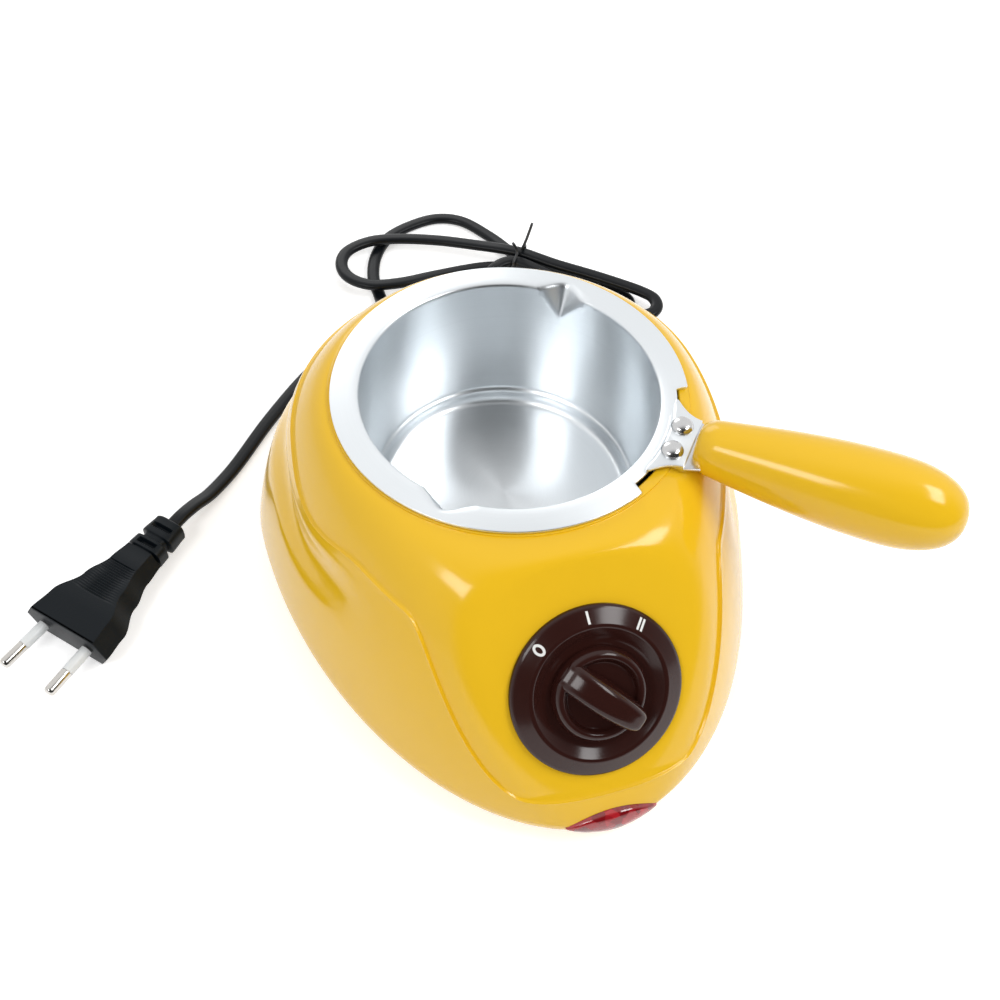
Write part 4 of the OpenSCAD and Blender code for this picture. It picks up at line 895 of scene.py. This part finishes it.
def round_metal(name, color, rough, stretch=0.8):
    material, tree, shader = shader_tree(name)
    nodes, links = tree.nodes, tree.links
    where = nodes.new("ShaderNodeTexCoord").outputs["Object"]
    split = nodes.new("ShaderNodeSeparateXYZ")
    links.new(where, split.inputs[0])
    flat = nodes.new("ShaderNodeCombineXYZ")
    links.new(split.outputs["X"], flat.inputs["X"])
    links.new(split.outputs["Y"], flat.inputs["Y"])
    reach = nodes.new("ShaderNodeVectorMath")
    reach.operation = "LENGTH"
    links.new(flat.outputs[0], reach.inputs[0])
    rings = nodes.new("ShaderNodeCombineXYZ")
    links.new(reach.outputs["Value"], rings.inputs["X"])
    links.new(split.outputs["Z"], rings.inputs["Y"])
    fine = noise(tree, rings.outputs[0], LINE_SCALE, 3)
    vary_roughness(tree, shader, noise(tree, where, 60, 3), rough - 0.05, rough + 0.06)
    vary_color(tree, shader, fine, [c * 0.93 for c in color], color)
    add_bump(tree, shader, fine, LINE_STRENGTH, LINE_DEPTH)
    preset(shader, {"Metallic": 1, "Anisotropic": stretch, "Anisotropic Rotation": 0.25})
    tangent = nodes.new("ShaderNodeTangent")
    tangent.direction_type = "RADIAL"
    tangent.axis = "Z"
    links.new(tangent.outputs[0], shader.inputs["Tangent"])
    return material


pot_paint = round_metal("drawn_aluminium", (0.84, 0.875, 0.9), 0.33, stretch=0.7)
pot = finish_piece("pot_drawn", pot_form, "pot", pot_paint, ("pot_bowl",), sharp=40)
print("pot finished,", len(pot.data.polygons), "faces")

# %% [markdown]
# ## Tab, rivets and bracket
# The flange rises by the thickness of the bracket and runs out as a tab with
# hollow sides. Two domed rivets hold it to the bracket, whose wings show on both
# sides of the handle's root.

# %% Tab
TAB_ROOT, TAB_LENGTH, TAB_NECK = 49.4, 10.1, 50.3


def tab_half_at(x):
    k = (x - TAB_NECK) / 9.2
    return 10 + 8.6 * (max(1 - k, 0) * 0.79) ** 2


tab_form = bmesh.new()
grid = bmesh.ops.create_grid(tab_form, x_segments=24, y_segments=26, size=0.5)
for vert in grid["verts"]:
    u = vert.co.x * 2
    x = TAB_ROOT + TAB_LENGTH * (vert.co.y + 0.5)
    rise = ease((math.hypot(x, u * tab_half_at(x)) - 50.2) / 1.7)
    vert.co = Vector((x, u * tab_half_at(max(x, TAB_NECK)), 79.94 + 1.26 * rise)) * mm
bmesh.ops.recalc_face_normals(tab_form, faces=tab_form.faces)
if sum(f.normal.z for f in tab_form.faces) < 0:
    bmesh.ops.reverse_faces(tab_form, faces=tab_form.faces)
bmesh.ops.solidify(tab_form, geom=tab_form.faces[:], thickness=0.98 * mm)
bmesh.ops.recalc_face_normals(tab_form, faces=tab_form.faces)
tab_rim = [e for e in tab_form.edges if e.calc_face_angle(0) > math.radians(60)]
tab_form = moved(bevelled(tab_form, tab_rim, 0.2, 2), to_handle)
tab = finish_piece("pot_tab", tab_form, "pot", pot_paint, sharp=40)
print("tab", len(tab.data.polygons), "faces")

# %% Rivets and bracket
RIVET_X, RIVET_SIDE = 54.4, 5.2
rivet_line = soften([
    (0, 77.6, 0), (2.4, 77.6, 0.5), (2.6, 79, 0), (1.5, 79, 0), (1.5, 81.2, 0), (3.5, 81.2, 0.1),
    (3.5, 81.7, 0.5), (2.7, 82.75, 1.1), (1.2, 83.25, 0.9), (0, 83.3, 0),
], 5)
rivet_forms = []
for side in (-RIVET_SIDE, RIVET_SIDE):
    rivet = spun(rivet_line, 48)
    bmesh.ops.translate(rivet, vec=Vector((RIVET_X, side, 0)) * mm, verts=rivet.verts)
    rivet_forms.append(rivet)
rivet_form = moved(joined(*rivet_forms), to_handle)
rivet_paint = plain_paint("rivet_aluminium", (0.62, 0.62, 0.62), 0.22, grain=0.15, grain_size=700,
                          metal=1, blotch=0.08)
rivet_piece = finish_piece("rivet_heads", rivet_form, "pot", rivet_paint,
                           ("rivets",), sharp=50)


def sheet_part(outline, low, thick, edge):
    form = bmesh.new()
    face = form.faces.new([form.verts.new(Vector((x, y, low)) * mm) for x, y in outline])
    made = bmesh.ops.extrude_face_region(form, geom=[face])["geom"]
    upper = [v for v in made if isinstance(v, bmesh.types.BMVert)]
    bmesh.ops.translate(form, vec=Vector((0, 0, thick * mm)), verts=upper)
    bmesh.ops.recalc_face_normals(form, faces=form.faces)
    return bevelled(form, form.edges, edge, 2)


wings = [
    (51.6, -10), (59.5, -10), (64, -8), (67, -5), (85, -5), (85, 5), (67, 5), (64, 8), (59.5, 10),
    (51.6, 10),
]
bracket_form = moved(sheet_part(wings, 79, 1.2, 0.18), to_handle)
bracket_paint = plain_paint("bracket_steel", (0.66, 0.67, 0.69), 0.26, grain=0.2, grain_size=900,
                            metal=1, blotch=0.07)
bracket = finish_piece("bracket_sheet", bracket_form, "pot", bracket_paint,
                       ("handle_bracket",), sharp=40)
print("bracket and rivets", len(bracket.data.polygons) + len(rivet_piece.data.polygons), "faces")

# %% [markdown]
# ## Handle
# The handle is a smooth yellow club, slim at the pot and full near its free end.
# It is spun about its own axis. Its root stays clear of the body's shoulder,
# so vertices that would come too near it are lifted onto a small gap.

# %% Handle
HANDLE_LENGTH, ROOT_END = 79, 4.4
HANDLE_AT, HANDLE_TILT = (60.5, 0, 81.6), 87.5
SHOULDER_GAP = 0.7


def grip_radius(s):
    if s < 9:
        return 7.9 + 1.3 * s / 9
    if s < 55:
        return 9.2 + 4.2 * math.sin(math.pi / 2 * (s - 9) / 46)
    return 13.4 * max(1 - ((s - 55) / 24) ** 2.4, 0) ** (1 / 2.4)


root = [(0, 0), (4.4, 0), (5.6, 0.25), (6.7, 0.95), (7.45, 2.0), (7.95, 3.2)]
stations = [ROOT_END + (HANDLE_LENGTH - ROOT_END) * math.sin(math.pi / 2 * i / 60)
            for i in range(61)]
club = [Vector(p) for p in root] + [Vector((grip_radius(s), s)) for s in stations]
club[-1].x = 0
to_root = (Matrix.Translation(Vector(HANDLE_AT) * mm)
           @ Matrix.Rotation(math.radians(HANDLE_TILT), 4, "Y"))
handle_form = moved(spun(club, 128), to_root)
shoulder = plan_r(HANDLE_TURN)
for vert in handle_form.verts:
    r = math.hypot(vert.co.x, vert.co.y) / mm
    if r < 84 and vert.co.z < 82 * mm:
        clear = skin_height(HANDLE_TURN, shoulder, max(r - 0.9, RING_R)) + SHOULDER_GAP
        vert.co.z = max(vert.co.z, clear * mm)
handle = finish_piece("handle_club", moved(handle_form, to_handle), "pot", yellow_paint,
                      ("handle_grip",), sharp=60)
print("handle", len(handle.data.polygons), "faces")

# %% [markdown]
# ## Pilot light
# The lens is a ruby red eye that stands out of the skirt. It is clear plastic with
# facets pressed into its back, so the light breaks into cells. A cell pattern
# mixes two reds and tilts the surface a little inside the gloss. Each row of
# `dome` is a share of the eye's outline and how far the lens stands out there.

# %% Pilot light
lens_paint, tree, shader = shader_tree("ruby_lens")
where = tree.nodes.new("ShaderNodeTexCoord").outputs["Object"]
cells = preset(tree.nodes.new("ShaderNodeTexVoronoi"), {"Scale": 330})
tree.links.new(where, cells.inputs["Vector"])
tint = tree.nodes.new("ShaderNodeSeparateColor")
tree.links.new(cells.outputs["Color"], tint.inputs[0])
vary_color(tree, shader, tint.outputs[0], (0.22, 0.003, 0.006), (0.62, 0.02, 0.03))
add_bump(tree, shader, cells.outputs["Distance"], 0.35, 0.0008)
preset(shader, {"Roughness": 0.12, "Transmission Weight": 0.25, "IOR": 1.49,
                "Coat Weight": 1, "Coat Roughness": 0.04})
dome = [
    (0, 1.45), (0.2, 1.42), (0.4, 1.35), (0.6, 1.22), (0.75, 1.1), (0.86, 0.98), (0.93, 0.86),
    (0.97, 0.7), (0.99, 0.5), (1, 0.2), (1, -1), (1, -3), (0.97, -3.3), (0.6, -3.3), (0, -3.3),
]
lens = finish_piece("pilot_lens", eye(dome), "base", lens_paint,
                    ("indicator_lens",), sharp=60)
print("lens", len(lens.data.polygons), "faces")

# %% [markdown]
# ## Plug
# The flat plug is moulded on the cord. Its front is a wide six-sided block, its
# waist draws in past a ribbed patch for the fingers, and its tail has notches
# and slots so that it can bend.


# %% Plug body
def ladder(t, table):
    for (t0, *a), (t1, *b) in zip(table, table[1:]):
        if t <= t1:
            k = ease((t - t0) / (t1 - t0)) if t1 > t0 else 0
            return [x + (y - x) * k for x, y in zip(a, b)]
    return table[-1][1:]


PLUG_BODY, PLUG_AROUND, PLUG_ALONG = 38, 48, 200
PLUG_TABLE = [
    (0, 17.65, 6.85), (9, 16.7, 6.85), (20, 12.2, 6.3), (30, 9.2, 5.6), (38, 8.2, 5.07),
]
RIB_PITCH, RIB_DEPTH, RIB_HALF = 0.95, 0.4, 5.2
TAIL_START, TAIL_LENGTH, TAIL_AROUND, TAIL_ALONG, TAIL_POWER = 37.2, 16.3, 64, 66, 3.6
TAIL_TABLE = [
    (37.2, 5, 4), (38.7, 5, 4), (39.2, 6.9, 4.6), (43.3, 6.7, 4.45), (43.8, 4.7, 3.8),
    (45.4, 4.7, 3.8), (45.9, 6.5, 4.4), (52.9, 6, 4.1), (53.5, 5.5, 3.7),
]
SLOT_HALF, SLOT_DEPTH = 3.9, 0.42


def plug_place(k, j):
    x = PLUG_BODY * j / PLUG_ALONG
    half, thick = ladder(x, PLUG_TABLE)
    edge = half - thick * 0.62
    corners = [(half, 0), (edge, thick), (-edge, thick),
               (-half, 0), (-edge, -thick), (edge, -thick)]
    side, t = divmod(k * 6 / PLUG_AROUND, 1)
    spot = Vector(corners[int(side)]).lerp(Vector(corners[(int(side) + 1) % 6]), t)
    if 14.5 < x < 29.5 and abs(spot.y) > thick - 0.05 and abs(spot.x) < RIB_HALF:
        wave = 0.5 + 0.5 * math.cos(2 * math.pi * x / RIB_PITCH)
        spot.y -= math.copysign(RIB_DEPTH * wave, spot.y)
    return x, spot.x, spot.y


def tail_place(k, j):
    x = TAIL_START + TAIL_LENGTH * j / TAIL_ALONG
    half, thick = ladder(x, TAIL_TABLE)
    a = 2 * math.pi * (k + 0.5) / TAIL_AROUND
    c, v = math.cos(a), math.sin(a)
    r = (abs(c) ** TAIL_POWER + abs(v) ** TAIL_POWER) ** (-1 / TAIL_POWER)
    y, z = c * r * half, v * r * thick
    for slot_x in (41.3, 49.2):
        if abs(x - slot_x) < 1 and abs(y) < SLOT_HALF:
            inside = ease((1 - abs(x - slot_x)) / 0.35) * ease((SLOT_HALF - abs(y)) / 0.6)
            z *= 1 - SLOT_DEPTH * inside
    return x, y, z


slab_form = welded(rolled(PLUG_AROUND, PLUG_ALONG, plug_place), fill=True)
slab_ends = [e for e in slab_form.edges if any(len(f.verts) > 4 for f in e.link_faces)]
bevelled(slab_form, slab_ends, 0.7, 3)
tail_form = welded(rolled(TAIL_AROUND, TAIL_ALONG, tail_place), fill=True)
plug_form = moved(joined(slab_form, tail_form), to_plug)
plug = finish_piece("plug_moulding", plug_form, "base", plug_paint,
                    ("plug_body",), sharp=32)
print("plug", len(plug.data.polygons), "faces")

# %% Pins and sleeves
PIN_SIDE, PIN_TOE = 9.3, 1.66
pin_line = soften([
    (0, 0.5, 0), (1.45, 0.5, 0), (1.45, 10, 0), (2, 10, 0.1), (2, 18, 0.4), (1.7, 18.7, 0.5),
    (1, 19, 0.4), (0, 19, 0),
], 4)
sleeve_line = soften([(1.5, 0.5, 0), (2, 0.5, 0.1), (2, 9.9, 0.15), (1.5, 9.9, 0)], 3)
pin_forms, sleeve_forms = [], []
for side in (-1, 1):
    place = (to_plug @ Matrix.Translation(Vector((0, side * PIN_SIDE, 0)) * mm)
             @ Matrix.Rotation(math.radians(-side * PIN_TOE), 4, "Z")
             @ Matrix.Rotation(-math.pi / 2, 4, "Y"))
    pin_forms.append(moved(spun(pin_line, 48), place))
    sleeve_forms.append(moved(spun(sleeve_line, 48, close=True), place))
pin_paint = plain_paint("nickel_pin", (0.62, 0.6, 0.57), 0.16, grain=0.1, metal=1, blotch=0.05)
white_paint = plain_paint("white_plastic", (0.78, 0.8, 0.8), 0.32, grain=0.1)
pins = finish_piece("pin_tips", joined(*pin_forms), "base", pin_paint,
                    ("plug_pins",), sharp=50)
sleeves = finish_piece("pin_collars", joined(*sleeve_forms), "base", white_paint,
                       ("pin_sleeves",), sharp=50)
print("pins", len(pins.data.polygons), "sleeves", len(sleeves.data.polygons))

# %% [markdown]
# ## Strain relief and tie
# A ribbed rubber tail guards the cord where it leaves the body. The loops are
# held by a thin wire tie in black plastic, twisted on top of the bundle.

# %% Strain relief
RIB_COUNT, RIB_STEP, RIB_NARROWER = 5, 4.05, 0.2
relief = [(0, 76.5, 0), (4.6, 76.5, 0.2), (4.6, 81.55, 0), (6, 81.55, 0.3), (6, 83.1, 0.5)]
for k in range(RIB_COUNT):
    y0, r0 = 83.1 + RIB_STEP * k, 4.4 - RIB_NARROWER * k
    relief += [(r0, y0 + 0.1, 0.1), (r0 - 0.1, y0 + 2.1, 0.35), (r0 - 0.85, y0 + 2.3, 0.2),
               (r0 - 0.85, y0 + 3.9, 0.2)]
relief += [(3.4, 103.3, 0.3), (3.2, 103.5, 0.1), (0, 103.5, 0)]
to_relief = Matrix.Translation(Vector((-16, 0, 10)) * mm) @ Matrix.Rotation(-math.pi / 2, 4, "X")
relief_form = moved(spun(soften(relief, 3), 64), to_relief)
relief_piece = finish_piece("strain_relief", relief_form, "base", cord_paint,
                            ("cord_grommet",), sharp=50)
print("strain relief", len(relief_piece.data.polygons), "faces")

# %% Tie
tie_points = [Vector((side, along, up)) for along, side, up in (
    (3, 4, 25), (1.9, 2.6, 18), (1, 1.2, 12.5), (1.6, 0.5, 10.6), (4, 0.1, 10), (6.4, 0, 9.3),
    (6.9, 0, 8), (6.9, 0, 5), (6.9, 0, 2.4), (6.2, 0, 1), (4, 0, 0.7), (-4, 0, 0.7), (-6.2, 0, 1),
    (-6.9, 0, 2.4), (-6.9, 0, 5), (-6.9, 0, 8), (-6.4, 0, 9.3), (-4, -0.1, 10), (-1.6, -0.5, 10.6),
    (-1, -1.2, 12.5), (-2.5, -2.2, 16),
)]
to_tie = Matrix.Translation(Vector((49, 139, 0)) * mm) @ Matrix.Rotation(math.radians(-40), 4, "Z")
tie_path = [to_tie @ p for p in smooth_path(tie_points, 4)]
tie_level = (to_tie.to_3x3() @ Vector((1, 0, 0))).normalized()
tie_form = tube(tie_path, oval(1.2, 1.2, 12), level=tie_level)
tie_paint = plain_paint("tie_plastic", (0.02, 0.021, 0.024), 0.35, grain=0.2)
tie = finish_piece("wire_tie", tie_form, "base", tie_paint,
                   ("twist_tie",), sharp=60)
print("tie", len(tie.data.polygons), "faces")

# %% [markdown]
# ## Hidden pieces
# The heater, the switch and the base keep the exact model's shapes. They get real
# finishes too, because they show when the pot is lifted or the body is turned.

# %% Finishes of the hidden pieces
steel = plain_paint("zinc_steel", (0.56, 0.57, 0.59), 0.32, grain=0.3, metal=1, blotch=0.1)
cast = plain_paint("cast_aluminium", (0.5, 0.5, 0.51), 0.42, grain=0.5, grain_size=600,
                   metal=1, blotch=0.08)
well_paint = round_metal("well_aluminium", (0.72, 0.73, 0.75), 0.3)
finishes = {
    "yellow_plastic": yellow_paint, "brown_plastic": brown_paint,
    "handle_plastic": yellow_paint, "pot_metal": well_paint, "bracket_metal": bracket_paint,
    "rivet_metal": rivet_paint, "zinc_steel": steel, "plate_metal": cast,
    "pin_metal": pin_paint, "red_lens": lens_paint,
    "brass": plain_paint("brass", (0.6, 0.38, 0.12), 0.3, grain=0.2, metal=1),
    "pale_plastic": plain_paint("cream_plastic", (0.66, 0.64, 0.58), 0.45, grain=0.3),
    "base_plastic": plain_paint("yellow_satin", (0.82, 0.46, 0.014), 0.42, grain=0.5,
                                grain_size=1400),
    "lamp_glass": plain_paint("lamp_glass", (0.75, 0.3, 0.12), 0.08, coat=1.0),
    "mica": plain_paint("mica", (0.34, 0.26, 0.14), 0.4, grain=0.4, grain_size=300, vary=0.2),
    "cord_rubber": cord_paint, "plug_plastic": plug_paint, "tie_plastic": tie_paint,
    "foot_rubber": plain_paint("foot_rubber", (0.03, 0.03, 0.032), 0.6, grain=0.5,
                               grain_size=1500),
}
for part in frame["record"]["subparts"]:
    node = frame["nodes"].get(part["node"])
    if node is not None:
        node.data.materials.clear()
        node.data.materials.append(finishes[part["material_slot"]])
print("finishes given to", len(frame["nodes"]), "parts of the model")
